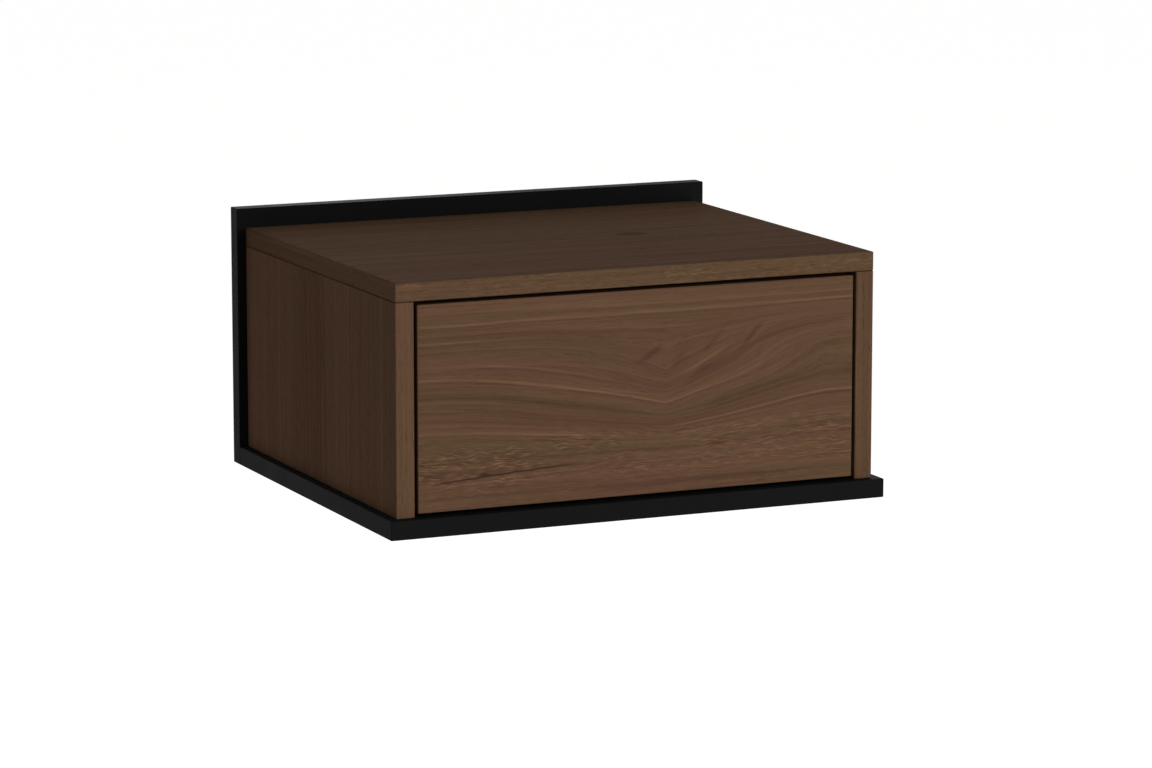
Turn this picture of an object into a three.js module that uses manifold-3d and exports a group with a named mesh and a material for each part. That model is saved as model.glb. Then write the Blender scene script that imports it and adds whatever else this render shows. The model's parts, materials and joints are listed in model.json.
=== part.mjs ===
import * as THREE from "three";
import { mergeVertices } from "three/addons/utils/BufferGeometryUtils.js";
import Module from "manifold-3d";

// Floating nightstand: a walnut box with one inset push-to-open drawer, carried by a black frame of two
// panels, one against the wall and one under the box. Sizes are in millimetres. +Z is up, -Y is the front,
// and the origin lies on the wall face of the back panel, midway between its two keyhole plates.

const wasm = await Module();
wasm.setup();

// Black frame
const FRAME_WIDTH = 450;
const BACK_THICKNESS = 16;
const BASE_THICKNESS = 16;
const SIDE_OVERHANG = 8;
const FRONT_OVERHANG = 8;
const UPSTAND = 17;

// Walnut box
const BOX_DEPTH = 350;
const SIDE_HEIGHT = 178;
const SIDE_THICKNESS = 16;
const TOP_THICKNESS = 16;
const EDGE_EASE = 0.5;

// Drawer
const FRONT_THICKNESS = 16;
const FRONT_REVEAL = 3;
const PRESS_TRAVEL = 3;
const DRAWER_SIDE_THICKNESS = 12;
const DRAWER_BACK_THICKNESS = 12;
const DRAWER_BOTTOM_THICKNESS = 3;
const DRAWER_CLEAR_BELOW = 18;
const DRAWER_CLEAR_ABOVE = 30;
const GROOVE_RISE = 10;
const GROOVE_DEPTH = 5;

// Clearances: between a piece and the hole or groove that holds it, and past a face that a tool cuts
const FIT_GAP = 0.3;
const OVERRUN = 1;

// Ball bearing slides
const SLIDE_REAR_CLEARANCE = 31;
const SLIDE_HEIGHT = 45;
const SLIDE_RISE = 60;
const STEEL = 1.2;
const CAGE_THICKNESS = 0.6;
const BALL_RADIUS = 1.7;
const RACE_GAP = 4;
const MIDDLE_SETBACK = 4;
const CAGE_MARGIN = 2;
const CAGE_END = 8;
const BALLS_PER_ROW = 5;
const STOP_TAB_HEIGHT = 12;
const SLIDE_SCREW_INSET = 37;
const PUNCH_PITCH = 32;
const PUNCH_RADIUS = 2.3;
const PUNCH_SLOT_LENGTH = 5;
const ACCESS_HOLE_RADIUS = 4.5;

// Release levers of the slides
const LEVER_SETBACK = 110;
const LEVER_THICKNESS = 2.4;
const LEVER_HUB_RADIUS = 4.4;
const LEVER_FRONT_REACH = 30;
const LEVER_REAR_REACH = 20;
const LEVER_ARM_HEIGHT = 4;
const LEVER_PAD_LENGTH = 10;
const LEVER_PAD_HEIGHT = 8;
const LEVER_HOOK_LENGTH = 4;
const LEVER_HOOK_HEIGHT = 6;
const RIVET_RADIUS = 1.8;
const RIVET_CLEARANCE = 0.2;
const RIVET_HEAD_RADIUS = 3.2;
const RIVET_HEAD_HEIGHT = 0.8;

// Push latch
const LATCH_LENGTH = 76;
const LATCH_WIDTH = 15;
const LATCH_HEIGHT = 13;
const LATCH_REAR_WALL = 3;
const LATCH_FLANGE_WIDTH = 36;
const LATCH_FLANGE_LENGTH = 30;
const LATCH_FLANGE_THICKNESS = 2.5;
const LATCH_FLANGE_SETBACK = 20;
const PLUNGER_RADIUS = 4.2;
const PLUNGER_SHOW = 4;
const PLUNGER_LENGTH = 54;
const TIP_RADIUS = 4;
const TIP_LENGTH = 4;
const SPRING_RADIUS = 3;
const SPRING_WIRE_RADIUS = 0.45;
const SPRING_TURNS = 7;
const STRIKE_WIDTH = 22;
const STRIKE_HEIGHT = 10;
const STRIKE_THICKNESS = 1;

// Keyhole plates
const PLATE_WIDTH = 24;
const PLATE_HEIGHT = 60;
const PLATE_THICKNESS = 1.5;
const PLATE_CORNER_RADIUS = 5;
const PLATE_SIDE_INSET = 75;
const PLATE_SCREW_INSET = 8;
const PLATE_TOP_INSET = 40;
const KEYHOLE_RADIUS = 5.5;
const KEYHOLE_SLOT_WIDTH = 5.6;
const KEYHOLE_SLOT_LENGTH = 12;
const POCKET_DEPTH = 7;
const POCKET_MARGIN = 2.5;

// Fasteners. A screw ends this far short of the far face of the board that it holds in.
const SCREW_COVER = 2.5;
const SMALL_SCREW = { head: 3.5, rim: 0.3, cone: 1.9, shank: 1.75, tip: 2, drive: 1.2, driveDepth: 1 };
const LONG_SCREW = { head: 5, rim: 0.8, cone: 2.6, shank: 3.4, tip: 4, drive: 2.1, driveDepth: 2.2 };
const LONG_SCREW_LENGTH = 50;
const BASE_SCREW_INSET = 50;
const BACK_SCREW_SIDE_INSET = 85;
const BACK_SCREW_RISE = 110;
const CAM_RADIUS = 7.5;
const CAM_DEPTH = 12.5;
const CAM_DROP = 34;
const CAM_INSET = 50;
const CAM_CROSS_LENGTH = 8;
const CAM_CROSS_WIDTH = 1.4;
const CAM_CROSS_DEPTH = 2.5;
const BOLT_HEAD_RADIUS = 3.2;
const BOLT_HEAD_HEIGHT = 3;
const BOLT_NECK_RADIUS = 2;
const BOLT_SHAFT_RADIUS = 3.4;
const BOLT_THREAD_RADIUS = 2.9;
const BOLT_THREAD_LENGTH = 11;
const DOWEL_RADIUS = 4;
const DOWEL_REACH = 10;
const BACK_DOWEL_RADIUS = 3;
const BACK_DOWEL_REACH = 8;
const DOWEL_EDGE_INSET = 28;

// Facets of round pieces, and the closeness at which their corners are merged
const SCREW_SIDES = 12;
const ROUND_SIDES = 16;
const BALL_SIDES = 6;
const BALL_RINGS = 4;
const CORNER_STEPS = 4;
const PUNCH_ARC_STEPS = 2;
const COIL_STEPS_PER_TURN = 8;
const WIRE_SIDES = 6;
const MERGE_DISTANCE = 1e-4;

// Places worked out from the sizes, measured from the wall face and from the underside of the base
const BOX_WIDTH = FRAME_WIDTH - 2 * SIDE_OVERHANG;
const OPENING_WIDTH = BOX_WIDTH - 2 * SIDE_THICKNESS;
const BOX_BACK = -BACK_THICKNESS;
const BOX_FRONT = BOX_BACK - BOX_DEPTH;
const BASE_FRONT = BOX_FRONT - FRONT_OVERHANG;
const SIDE_TOP = BASE_THICKNESS + SIDE_HEIGHT;
const BOX_TOP = SIDE_TOP + TOP_THICKNESS;
const SIDE_CENTRE_X = (OPENING_WIDTH + SIDE_THICKNESS) / 2;
const FRONT_REAR_FACE = BOX_FRONT + FRONT_THICKNESS;
const PLATE_X = FRAME_WIDTH / 2 - PLATE_SIDE_INSET;
const HANG_RISE = BOX_TOP - PLATE_TOP_INSET;
const BACK_SCREW_X = FRAME_WIDTH / 2 - BACK_SCREW_SIDE_INSET;

// The slide's section, from the box side at 0 inwards: each steel layer starts past a cage or a running gap
const CAGE_LAYER = CAGE_THICKNESS + 2 * FIT_GAP;
const BALL_LAYER = 2 * BALL_RADIUS + 2 * FIT_GAP;
const MIDDLE_WEB = STEEL + CAGE_LAYER;
const OUTER_LIP = MIDDLE_WEB + STEEL + BALL_LAYER;
const DRAWER_SHOULDER = MIDDLE_WEB + STEEL + CAGE_LAYER;
const MIDDLE_LIP = DRAWER_SHOULDER + STEEL + BALL_LAYER;
const DRAWER_WEB = MIDDLE_LIP + STEEL + FIT_GAP;
const SLIDE_THICKNESS = DRAWER_WEB + STEEL;
const LIP_DEPTH = RACE_GAP / 2 - CAGE_THICKNESS / 2 - FIT_GAP;
const OUTER_RACE = SLIDE_HEIGHT / 2 - STEEL;
const MIDDLE_FLANGE = OUTER_RACE - RACE_GAP;
const INNER_RACE = MIDDLE_FLANGE - STEEL;
const DRAWER_FLANGE = INNER_RACE - RACE_GAP;

// A full-extension slide runs out by its own length
const SLIDE_FRONT = FRONT_REAR_FACE + PRESS_TRAVEL;
const SLIDE_BACK = BOX_BACK - SLIDE_REAR_CLEARANCE;
const SLIDE_LENGTH = SLIDE_BACK - SLIDE_FRONT;
const DRAWER_TRAVEL = SLIDE_LENGTH;
const SLIDE_Z = BASE_THICKNESS + SLIDE_RISE;
const MIDDLE_FRONT = SLIDE_FRONT + MIDDLE_SETBACK;
const MIDDLE_BACK = SLIDE_BACK - STEEL - MIDDLE_SETBACK;
const DRAWER_MEMBER_FRONT = FRONT_REAR_FACE + FIT_GAP;
const DRAWER_MEMBER_BACK = SLIDE_BACK - STEEL - PRESS_TRAVEL - FIT_GAP;
const CAGE_LENGTH = MIDDLE_BACK - MIDDLE_FRONT - DRAWER_TRAVEL / 2 - CAGE_MARGIN;
const CAGE_CENTRE = (MIDDLE_FRONT + MIDDLE_BACK) / 2;

const DRAWER_BOX_WIDTH = OPENING_WIDTH - 2 * SLIDE_THICKNESS;
const DRAWER_INSIDE_WIDTH = DRAWER_BOX_WIDTH - 2 * DRAWER_SIDE_THICKNESS;
const DRAWER_SIDE_X = (DRAWER_INSIDE_WIDTH + DRAWER_SIDE_THICKNESS) / 2;
const DRAWER_BACK_FACE = FRONT_REAR_FACE + SLIDE_LENGTH;
const DRAWER_LOW = BASE_THICKNESS + DRAWER_CLEAR_BELOW;
const DRAWER_HIGH = SIDE_TOP - DRAWER_CLEAR_ABOVE;
const GROOVE_LOW = DRAWER_LOW + GROOVE_RISE;
const GROOVE_HIGH = GROOVE_LOW + DRAWER_BOTTOM_THICKNESS + 2 * FIT_GAP;

const LATCH_AXIS_Z = BASE_THICKNESS + LATCH_HEIGHT / 2;
const TIP_FRONT = FRONT_REAR_FACE + STRIKE_THICKNESS + PRESS_TRAVEL + FIT_GAP;
const PLUNGER_FRONT = TIP_FRONT + TIP_LENGTH;
const PLUNGER_REAR = PLUNGER_FRONT + PLUNGER_LENGTH;
const LATCH_FRONT = PLUNGER_FRONT + PLUNGER_SHOW;
const LATCH_BORE_END = LATCH_FRONT + LATCH_LENGTH - LATCH_REAR_WALL;

const SIDES = [
  { side: "left", inward: +1 },
  { side: "right", inward: -1 },
];

const walnut = new THREE.MeshStandardMaterial({ color: "rgb(92, 70, 55)", roughness: 0.5 });
const blackBoard = new THREE.MeshStandardMaterial({ color: "rgb(27, 28, 28)", roughness: 0.55 });
const drawerBoard = new THREE.MeshStandardMaterial({ color: "rgb(58, 58, 60)", roughness: 0.6 });
const hardboard = new THREE.MeshStandardMaterial({ color: "rgb(48, 48, 50)", roughness: 0.7 });
const zinc = new THREE.MeshStandardMaterial({ color: "rgb(186, 190, 196)", roughness: 0.35, metalness: 1 });
const steel = new THREE.MeshStandardMaterial({ color: "rgb(210, 212, 214)", roughness: 0.2, metalness: 1 });
const blackPlastic = new THREE.MeshStandardMaterial({ color: "rgb(30, 30, 32)", roughness: 0.5 });
const greyPlastic = new THREE.MeshStandardMaterial({ color: "rgb(120, 122, 126)", roughness: 0.45 });

// Solids: joining and cutting

function solidOf(geometry) {
  const bare = geometry.clone();
  bare.deleteAttribute("normal");
  bare.deleteAttribute("uv");
  const merged = mergeVertices(bare, MERGE_DISTANCE);
  const mesh = new wasm.Mesh({
    numProp: merged.attributes.position.itemSize,
    vertProperties: merged.attributes.position.array,
    triVerts: new Uint32Array(merged.index.array),
  });
  return new wasm.Manifold(mesh);
}

function geometryOf(solid) {
  const mesh = solid.getMesh();
  const geometry = new THREE.BufferGeometry();
  const positions = new THREE.BufferAttribute(mesh.vertProperties, mesh.numProp);
  geometry.setAttribute("position", positions);
  geometry.setIndex(new THREE.BufferAttribute(mesh.triVerts, 1));
  geometry.computeVertexNormals();
  return geometry;
}

function cut(geometry, tools) {
  const start = solidOf(geometry);
  return geometryOf(tools.reduce((left, tool) => left.subtract(solidOf(tool)), start));
}

function join(geometries) {
  const [first, ...others] = geometries.map(solidOf);
  return geometryOf(others.reduce((whole, other) => whole.add(other), first));
}

// Plain shapes, each made in its own frame

function block(low, high) {
  const size = high.map((value, axis) => value - low[axis]);
  const centre = high.map((value, axis) => (value + low[axis]) / 2);
  return new THREE.BoxGeometry(...size).translate(...centre);
}

// A board with every edge eased, centred on its own middle.
function easedBoard(width, depth, height) {
  const outline = new THREE.Shape();
  const x = width / 2;
  const y = depth / 2;
  outline.moveTo(EDGE_EASE - x, -y);
  outline.lineTo(x - EDGE_EASE, -y);
  outline.lineTo(x, EDGE_EASE - y);
  outline.lineTo(x, y - EDGE_EASE);
  outline.lineTo(x - EDGE_EASE, y);
  outline.lineTo(EDGE_EASE - x, y);
  outline.lineTo(-x, y - EDGE_EASE);
  outline.lineTo(-x, EDGE_EASE - y);
  const board = new THREE.ExtrudeGeometry(outline, {
    depth: height - 2 * EDGE_EASE,
    bevelThickness: EDGE_EASE,
    bevelSize: EDGE_EASE,
    bevelOffset: -EDGE_EASE,
    bevelSegments: 1,
  });
  return board.translate(0, 0, EDGE_EASE - height / 2);
}

// A round piece about the Y axis, from pairs of radius and height that start and end on the axis.
function turned(profile, sides) {
  const points = profile.map(([radius, height]) => new THREE.Vector2(radius, height));
  return new THREE.LatheGeometry(points, sides);
}

function rod(radius, low, high, sides) {
  return turned([[0, low], [radius, low], [radius, high], [0, high]], sides);
}

// A prism whose section lies in X and Z and which runs from its back end towards the front.
function alongDepth(section, front, back) {
  const shape = new THREE.Shape(section.map(([x, z]) => new THREE.Vector2(x, z)));
  const prism = new THREE.ExtrudeGeometry(shape, { depth: back - front, bevelEnabled: false });
  return prism.rotateX(Math.PI / 2).translate(0, back, 0);
}

// Assembly helpers

function addMesh(parent, name, geometry, material, place = [0, 0, 0]) {
  const mesh = new THREE.Mesh(geometry, material);
  mesh.name = name;
  mesh.position.set(...place);
  parent.add(mesh);
}

// A board between two corners, with tools given in the frame of the parent cut out of it.
function addBoard(parent, name, material, low, high, tools) {
  const size = high.map((value, axis) => value - low[axis]);
  const centre = high.map((value, axis) => (value + low[axis]) / 2);
  const back = centre.map((value) => -value);
  const localTools = tools.map((tool) => tool.clone().translate(...back));
  addMesh(parent, name, cut(easedBoard(...size), localTools), material, centre);
}

function addGroup(parent, place = [0, 0, 0]) {
  const group = new THREE.Group();
  group.position.set(...place);
  parent.add(group);
  return group;
}

// Screws stand on the Y axis with the face of the head at 0 and the point towards -Y.

function screwBody(screw, length) {
  return turned(
    [
      [0, -length],
      [screw.shank, screw.tip - length],
      [screw.shank, -screw.cone],
      [screw.head, -screw.rim],
      [screw.head, 0],
      [screw.drive, 0],
      [screw.drive, -screw.driveDepth],
      [0, -screw.driveDepth],
    ],
    SCREW_SIDES,
  );
}

function screwHole(screw, length) {
  return turned(
    [
      [0, -length - FIT_GAP],
      [screw.shank + FIT_GAP, screw.tip - length],
      [screw.shank + FIT_GAP, -screw.cone - FIT_GAP],
      [screw.head + FIT_GAP, -screw.rim - FIT_GAP],
      [screw.head + FIT_GAP, OVERRUN],
      [0, OVERRUN],
    ],
    SCREW_SIDES,
  );
}

// Quarter turns that point a screw or a rod along another axis
const pointForward = (geometry) => geometry;
const pointUp = (geometry) => geometry.rotateX(-Math.PI / 2);
const pointDown = (geometry) => geometry.rotateX(Math.PI / 2);
const pointAlongX = (geometry, direction) => geometry.rotateZ((direction * Math.PI) / 2);

// One screw of a set: its name, place, length and the turn that points it.
function fastener(name, screw, length, place, turn) {
  return { name, screw, length, place, turn };
}

function holeOf(item) {
  return item.turn(screwHole(item.screw, item.length)).translate(...item.place);
}

function addFasteners(parent, items) {
  for (const item of items) {
    addMesh(parent, item.name, item.turn(screwBody(item.screw, item.length)), zinc, item.place);
  }
}

// Carcass fasteners

function baseScrews() {
  const items = [];
  for (const { side, inward } of SIDES) {
    for (const [end, y] of [["front", BOX_FRONT + BASE_SCREW_INSET], ["rear", BOX_BACK - BASE_SCREW_INSET]]) {
      const place = [-inward * SIDE_CENTRE_X, y, 0];
      items.push(fastener(`base_screw_${side}_${end}`, LONG_SCREW, LONG_SCREW_LENGTH, place, pointUp));
    }
  }
  return items;
}

function backScrews() {
  const items = [];
  for (const { side, inward } of SIDES) {
    const low = [-inward * BACK_SCREW_X, 0, BASE_THICKNESS / 2];
    const high = [-inward * SIDE_CENTRE_X, 0, BACK_SCREW_RISE];
    items.push(fastener(`back_screw_${side}_lower`, LONG_SCREW, LONG_SCREW_LENGTH, low, pointForward));
    items.push(fastener(`back_screw_${side}_upper`, LONG_SCREW, LONG_SCREW_LENGTH, high, pointForward));
  }
  return items;
}

// The top is drawn down on the sides by bolts in its underside and cams in the inner faces of the sides.
function camPlaces() {
  const places = [];
  for (const { side, inward } of SIDES) {
    for (const [end, y] of [["front", BOX_FRONT + CAM_INSET], ["rear", BOX_BACK - CAM_INSET]]) {
      places.push({ name: `${side}_${end}`, inward, bolt: [-inward * SIDE_CENTRE_X, y, SIDE_TOP] });
    }
  }
  return places;
}

// A cam bolt stands on the Z axis, its joint plane at 0, its thread above and its head at the cam's axis.
function camBolt(grow) {
  const headLow = -CAM_DROP - BOLT_HEAD_HEIGHT / 2 - grow;
  const headHigh = -CAM_DROP + BOLT_HEAD_HEIGHT / 2 + grow;
  const neckHigh = CAM_RADIUS - CAM_DROP + FIT_GAP;
  const profile = [
    [0, headLow],
    [BOLT_HEAD_RADIUS + grow, headLow],
    [BOLT_HEAD_RADIUS + grow, headHigh],
    [BOLT_NECK_RADIUS + grow, headHigh],
    [BOLT_NECK_RADIUS + grow, neckHigh],
    [BOLT_SHAFT_RADIUS + grow, neckHigh],
    [BOLT_SHAFT_RADIUS + grow, 0],
    [BOLT_THREAD_RADIUS + grow, 0],
    [BOLT_THREAD_RADIUS + grow, BOLT_THREAD_LENGTH + grow],
    [0, BOLT_THREAD_LENGTH + grow],
  ];
  return turned(profile, SCREW_SIDES).rotateX(Math.PI / 2);
}

// A cam lies on the X axis with its driven face at 0 and its body towards +X, under the bolt at CAM_DROP.
function camLock(inward) {
  const boltX = -inward * (SIDE_THICKNESS / 2);
  const body = pointAlongX(rod(CAM_RADIUS, -CAM_DEPTH, 0, ROUND_SIDES), -inward);
  const boltSpace = camBolt(FIT_GAP).translate(boltX, 0, CAM_DROP);
  const reach = BOLT_HEAD_RADIUS + FIT_GAP;
  const entry = block([boltX - reach, 0, -reach], [boltX + reach, CAM_RADIUS + OVERRUN, reach]);
  const deep = CAM_CROSS_DEPTH;
  const half = CAM_CROSS_LENGTH / 2;
  const thin = CAM_CROSS_WIDTH / 2;
  const upright = block([-deep, -thin, -half], [deep, thin, half]);
  const level = block([-deep, -half, -thin], [deep, half, thin]);
  return cut(body, [boltSpace, entry, upright, level]);
}

function camPocket(place) {
  const pocket = rod(CAM_RADIUS + FIT_GAP, -CAM_DEPTH - FIT_GAP, OVERRUN, ROUND_SIDES);
  return pointAlongX(pocket, -place.inward).translate(...camOrigin(place));
}

function camOrigin(place) {
  return [(-place.inward * OPENING_WIDTH) / 2, place.bolt[1], SIDE_TOP - CAM_DROP];
}

// The hole for the bolt's thread, in the underside of the top.
function threadHole(place) {
  const hole = rod(BOLT_THREAD_RADIUS + FIT_GAP, -OVERRUN, BOLT_THREAD_LENGTH + FIT_GAP, SCREW_SIDES);
  return hole.rotateX(Math.PI / 2).translate(...place.bolt);
}

// The hole for the bolt's shaft, from the upper edge of the side down into the cam's pocket.
function shaftHole(place) {
  const hole = rod(BOLT_SHAFT_RADIUS + FIT_GAP, -CAM_DROP, OVERRUN, SCREW_SIDES);
  return hole.rotateX(Math.PI / 2).translate(...place.bolt);
}

// Keyhole plates, let into the wall face of the back panel

function keyholeOutline(margin) {
  const outline = new THREE.Path();
  const radius = KEYHOLE_RADIUS + margin;
  const slot = KEYHOLE_SLOT_WIDTH / 2 + margin;
  const meet = Math.asin(slot / radius);
  outline.absarc(0, 0, radius, Math.PI / 2 + meet, Math.PI * 2 + Math.PI / 2 - meet, false);
  outline.absarc(0, KEYHOLE_SLOT_LENGTH, slot, 0, Math.PI, false);
  outline.closePath();
  return outline;
}

// The plate lies in X and Z with its wall face at Y = 0 and the keyhole's slot upwards.
function keyholePlate(holes) {
  const x = PLATE_WIDTH / 2 - PLATE_CORNER_RADIUS;
  const z = PLATE_HEIGHT / 2 - PLATE_CORNER_RADIUS;
  const outline = new THREE.Shape();
  outline.absarc(x, z, PLATE_CORNER_RADIUS, 0, Math.PI / 2, false);
  outline.absarc(-x, z, PLATE_CORNER_RADIUS, Math.PI / 2, Math.PI, false);
  outline.absarc(-x, -z, PLATE_CORNER_RADIUS, Math.PI, Math.PI + Math.PI / 2, false);
  outline.absarc(x, -z, PLATE_CORNER_RADIUS, Math.PI + Math.PI / 2, Math.PI * 2, false);
  outline.holes.push(keyholeOutline(0));
  const plate = new THREE.ExtrudeGeometry(outline, {
    depth: PLATE_THICKNESS,
    bevelEnabled: false,
    curveSegments: CORNER_STEPS,
  });
  return cut(plate.rotateX(Math.PI / 2), holes);
}

// The recess that takes the plate, and behind it the pocket where the head of the wall screw travels.
function plateRecess(x) {
  const halfWidth = PLATE_WIDTH / 2 + FIT_GAP;
  const halfHeight = PLATE_HEIGHT / 2 + FIT_GAP;
  const seat = block([-halfWidth, -PLATE_THICKNESS, -halfHeight], [halfWidth, OVERRUN, halfHeight]);
  const shape = new THREE.Shape(keyholeOutline(POCKET_MARGIN).getPoints(CORNER_STEPS));
  const pocket = new THREE.ExtrudeGeometry(shape, {
    depth: POCKET_DEPTH + PLATE_THICKNESS + OVERRUN,
    bevelEnabled: false,
  });
  pocket.rotateX(Math.PI / 2).translate(0, OVERRUN, 0);
  return [seat, pocket].map((tool) => tool.translate(x, 0, HANG_RISE));
}

function plateScrews() {
  const items = [];
  const length = BACK_THICKNESS - SCREW_COVER;
  for (const { side, inward } of SIDES) {
    for (const [end, sign] of [["upper", 1], ["lower", -1]]) {
      const z = HANG_RISE + sign * (PLATE_HEIGHT / 2 - PLATE_SCREW_INSET);
      const place = [-inward * PLATE_X, 0, z];
      items.push(fastener(`keyhole_screw_${side}_${end}`, SMALL_SCREW, length, place, pointForward));
    }
  }
  return items;
}

// Slides. Each member's section is drawn inwards from the box side, and mirrored for the right slide.

function cabinetSection() {
  const high = SLIDE_HEIGHT / 2;
  const lipEnd = OUTER_LIP + STEEL;
  const lipLow = OUTER_RACE - LIP_DEPTH;
  return mirroredSection([
    [0, high],
    [lipEnd, high],
    [lipEnd, lipLow],
    [OUTER_LIP, lipLow],
    [OUTER_LIP, OUTER_RACE],
    [STEEL, OUTER_RACE],
  ]);
}

function middleSection() {
  const shoulder = MIDDLE_FLANGE + LIP_DEPTH;
  const lipEnd = MIDDLE_LIP + STEEL;
  const lipLow = INNER_RACE - LIP_DEPTH;
  return mirroredSection([
    [MIDDLE_WEB, shoulder],
    [MIDDLE_WEB + STEEL, shoulder],
    [MIDDLE_WEB + STEEL, MIDDLE_FLANGE],
    [lipEnd, MIDDLE_FLANGE],
    [lipEnd, lipLow],
    [MIDDLE_LIP, lipLow],
    [MIDDLE_LIP, INNER_RACE],
    [MIDDLE_WEB + STEEL, INNER_RACE],
  ]);
}

function drawerSection() {
  const shoulder = DRAWER_FLANGE + LIP_DEPTH;
  const inner = DRAWER_FLANGE - STEEL;
  return mirroredSection([
    [SLIDE_THICKNESS, DRAWER_FLANGE],
    [DRAWER_SHOULDER + STEEL, DRAWER_FLANGE],
    [DRAWER_SHOULDER + STEEL, shoulder],
    [DRAWER_SHOULDER, shoulder],
    [DRAWER_SHOULDER, inner],
    [DRAWER_WEB, inner],
  ]);
}

function cageSection(web, race, end) {
  const centre = race - RACE_GAP / 2;
  const high = centre + CAGE_THICKNESS / 2;
  const low = centre - CAGE_THICKNESS / 2;
  return mirroredSection([
    [web, high],
    [end, high],
    [end, low],
    [web + CAGE_THICKNESS, low],
  ]);
}

// Completes an upper half with its mirror image in the level plane of the slide.
function mirroredSection(upper) {
  const lower = upper.map(([x, z]) => [x, -z]);
  return [...upper, ...lower.reverse()];
}

function member(section, inward, front, back) {
  const sided = section.map(([x, z]) => [inward * x, z]);
  return alongDepth(sided, front, back);
}

// Holes punched through a web that starts at X = web: slots, and round holes to reach the screws through.

function punchPlaces(front, back) {
  const first = front + SLIDE_SCREW_INSET + PUNCH_PITCH;
  const last = back - SLIDE_SCREW_INSET - PUNCH_PITCH / 2;
  const places = [];
  for (let y = first; y <= last; y += PUNCH_PITCH) {
    places.push(y);
  }
  return places;
}

function slotPunch(inward, web, y, upright) {
  const outline = new THREE.Shape();
  outline.absarc(0, PUNCH_SLOT_LENGTH / 2, PUNCH_RADIUS, 0, Math.PI, false);
  outline.absarc(0, -PUNCH_SLOT_LENGTH / 2, PUNCH_RADIUS, Math.PI, Math.PI * 2, false);
  const depth = STEEL + 2 * OVERRUN;
  const slot = new THREE.ExtrudeGeometry(outline, {
    depth,
    bevelEnabled: false,
    curveSegments: PUNCH_ARC_STEPS,
  });
  slot.translate(0, 0, -depth / 2).rotateY(Math.PI / 2).rotateX(upright ? Math.PI / 2 : 0);
  return slot.translate(inward * (web + STEEL / 2), y, 0);
}

function accessPunch(inward, web, y) {
  const hole = rod(ACCESS_HOLE_RADIUS, -OVERRUN, STEEL + OVERRUN, ROUND_SIDES);
  return pointAlongX(hole, -inward).translate(inward * web, y, 0);
}

function ballCage(inward, web, race, ballX) {
  const front = CAGE_CENTRE - CAGE_LENGTH / 2;
  const back = CAGE_CENTRE + CAGE_LENGTH / 2;
  const strip = member(cageSection(web, race, ballX + BALL_RADIUS), inward, front, back);
  const balls = [];
  const step = (CAGE_LENGTH - 2 * CAGE_END) / (BALLS_PER_ROW - 1);
  for (let row = 0; row < BALLS_PER_ROW; row += 1) {
    for (const level of [race - RACE_GAP / 2, RACE_GAP / 2 - race]) {
      const ball = new THREE.SphereGeometry(BALL_RADIUS, BALL_SIDES, BALL_RINGS);
      balls.push(ball.translate(inward * ballX, front + CAGE_END + row * step, level));
    }
  }
  return join([strip, ...balls]);
}

function cabinetMember(inward, holes) {
  const channel = member(cabinetSection(), inward, SLIDE_FRONT, SLIDE_BACK);
  const tabX = [STEEL / 2, DRAWER_WEB].map((x) => inward * x).sort((a, b) => a - b);
  const half = STOP_TAB_HEIGHT / 2;
  const tab = block([tabX[0], SLIDE_BACK - STEEL, -half], [tabX[1], SLIDE_BACK, half]);
  const places = punchPlaces(SLIDE_FRONT, SLIDE_BACK);
  const slots = places.map((y, index) => slotPunch(inward, 0, y, index % 2 > 0));
  return cut(join([channel, tab]), [...holes, ...slots]);
}

// The middle member has a round hole over each screw of the cabinet member, to reach it through.
function middleMember(inward) {
  const channel = member(middleSection(), inward, MIDDLE_FRONT, MIDDLE_BACK);
  const screws = [SLIDE_FRONT + SLIDE_SCREW_INSET, SLIDE_BACK - SLIDE_SCREW_INSET];
  const access = screws.map((y) => accessPunch(inward, MIDDLE_WEB, y));
  const places = punchPlaces(SLIDE_FRONT, SLIDE_BACK);
  const slots = places.map((y) => slotPunch(inward, MIDDLE_WEB, y, false));
  return cut(channel, [...access, ...slots]);
}

// The drawer's member carries the rivet on which its release lever turns.
function drawerMember(inward, holes) {
  const channel = member(drawerSection(), inward, DRAWER_MEMBER_FRONT, DRAWER_MEMBER_BACK);
  const neckEnd = DRAWER_WEB - LEVER_THICKNESS - 2 * FIT_GAP;
  const headEnd = neckEnd - RIVET_HEAD_HEIGHT;
  const rivet = turned(
    [
      [0, headEnd],
      [RIVET_HEAD_RADIUS, headEnd],
      [RIVET_HEAD_RADIUS, neckEnd],
      [RIVET_RADIUS, neckEnd],
      [RIVET_RADIUS, DRAWER_WEB + STEEL / 2],
      [0, DRAWER_WEB + STEEL / 2],
    ],
    ROUND_SIDES,
  );
  const pivot = DRAWER_MEMBER_FRONT + LEVER_SETBACK;
  const placedRivet = pointAlongX(rivet, -inward).translate(0, pivot, 0);
  const clear = LEVER_FRONT_REACH + PUNCH_SLOT_LENGTH / 2 + PUNCH_RADIUS;
  const places = punchPlaces(DRAWER_MEMBER_FRONT, DRAWER_MEMBER_BACK);
  const free = places.filter((y) => Math.abs(y - pivot) > clear);
  const slots = free.map((y, index) => slotPunch(inward, DRAWER_WEB, y, index % 2 > 0));
  return cut(join([channel, placedRivet]), [...holes, ...slots]);
}

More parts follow.
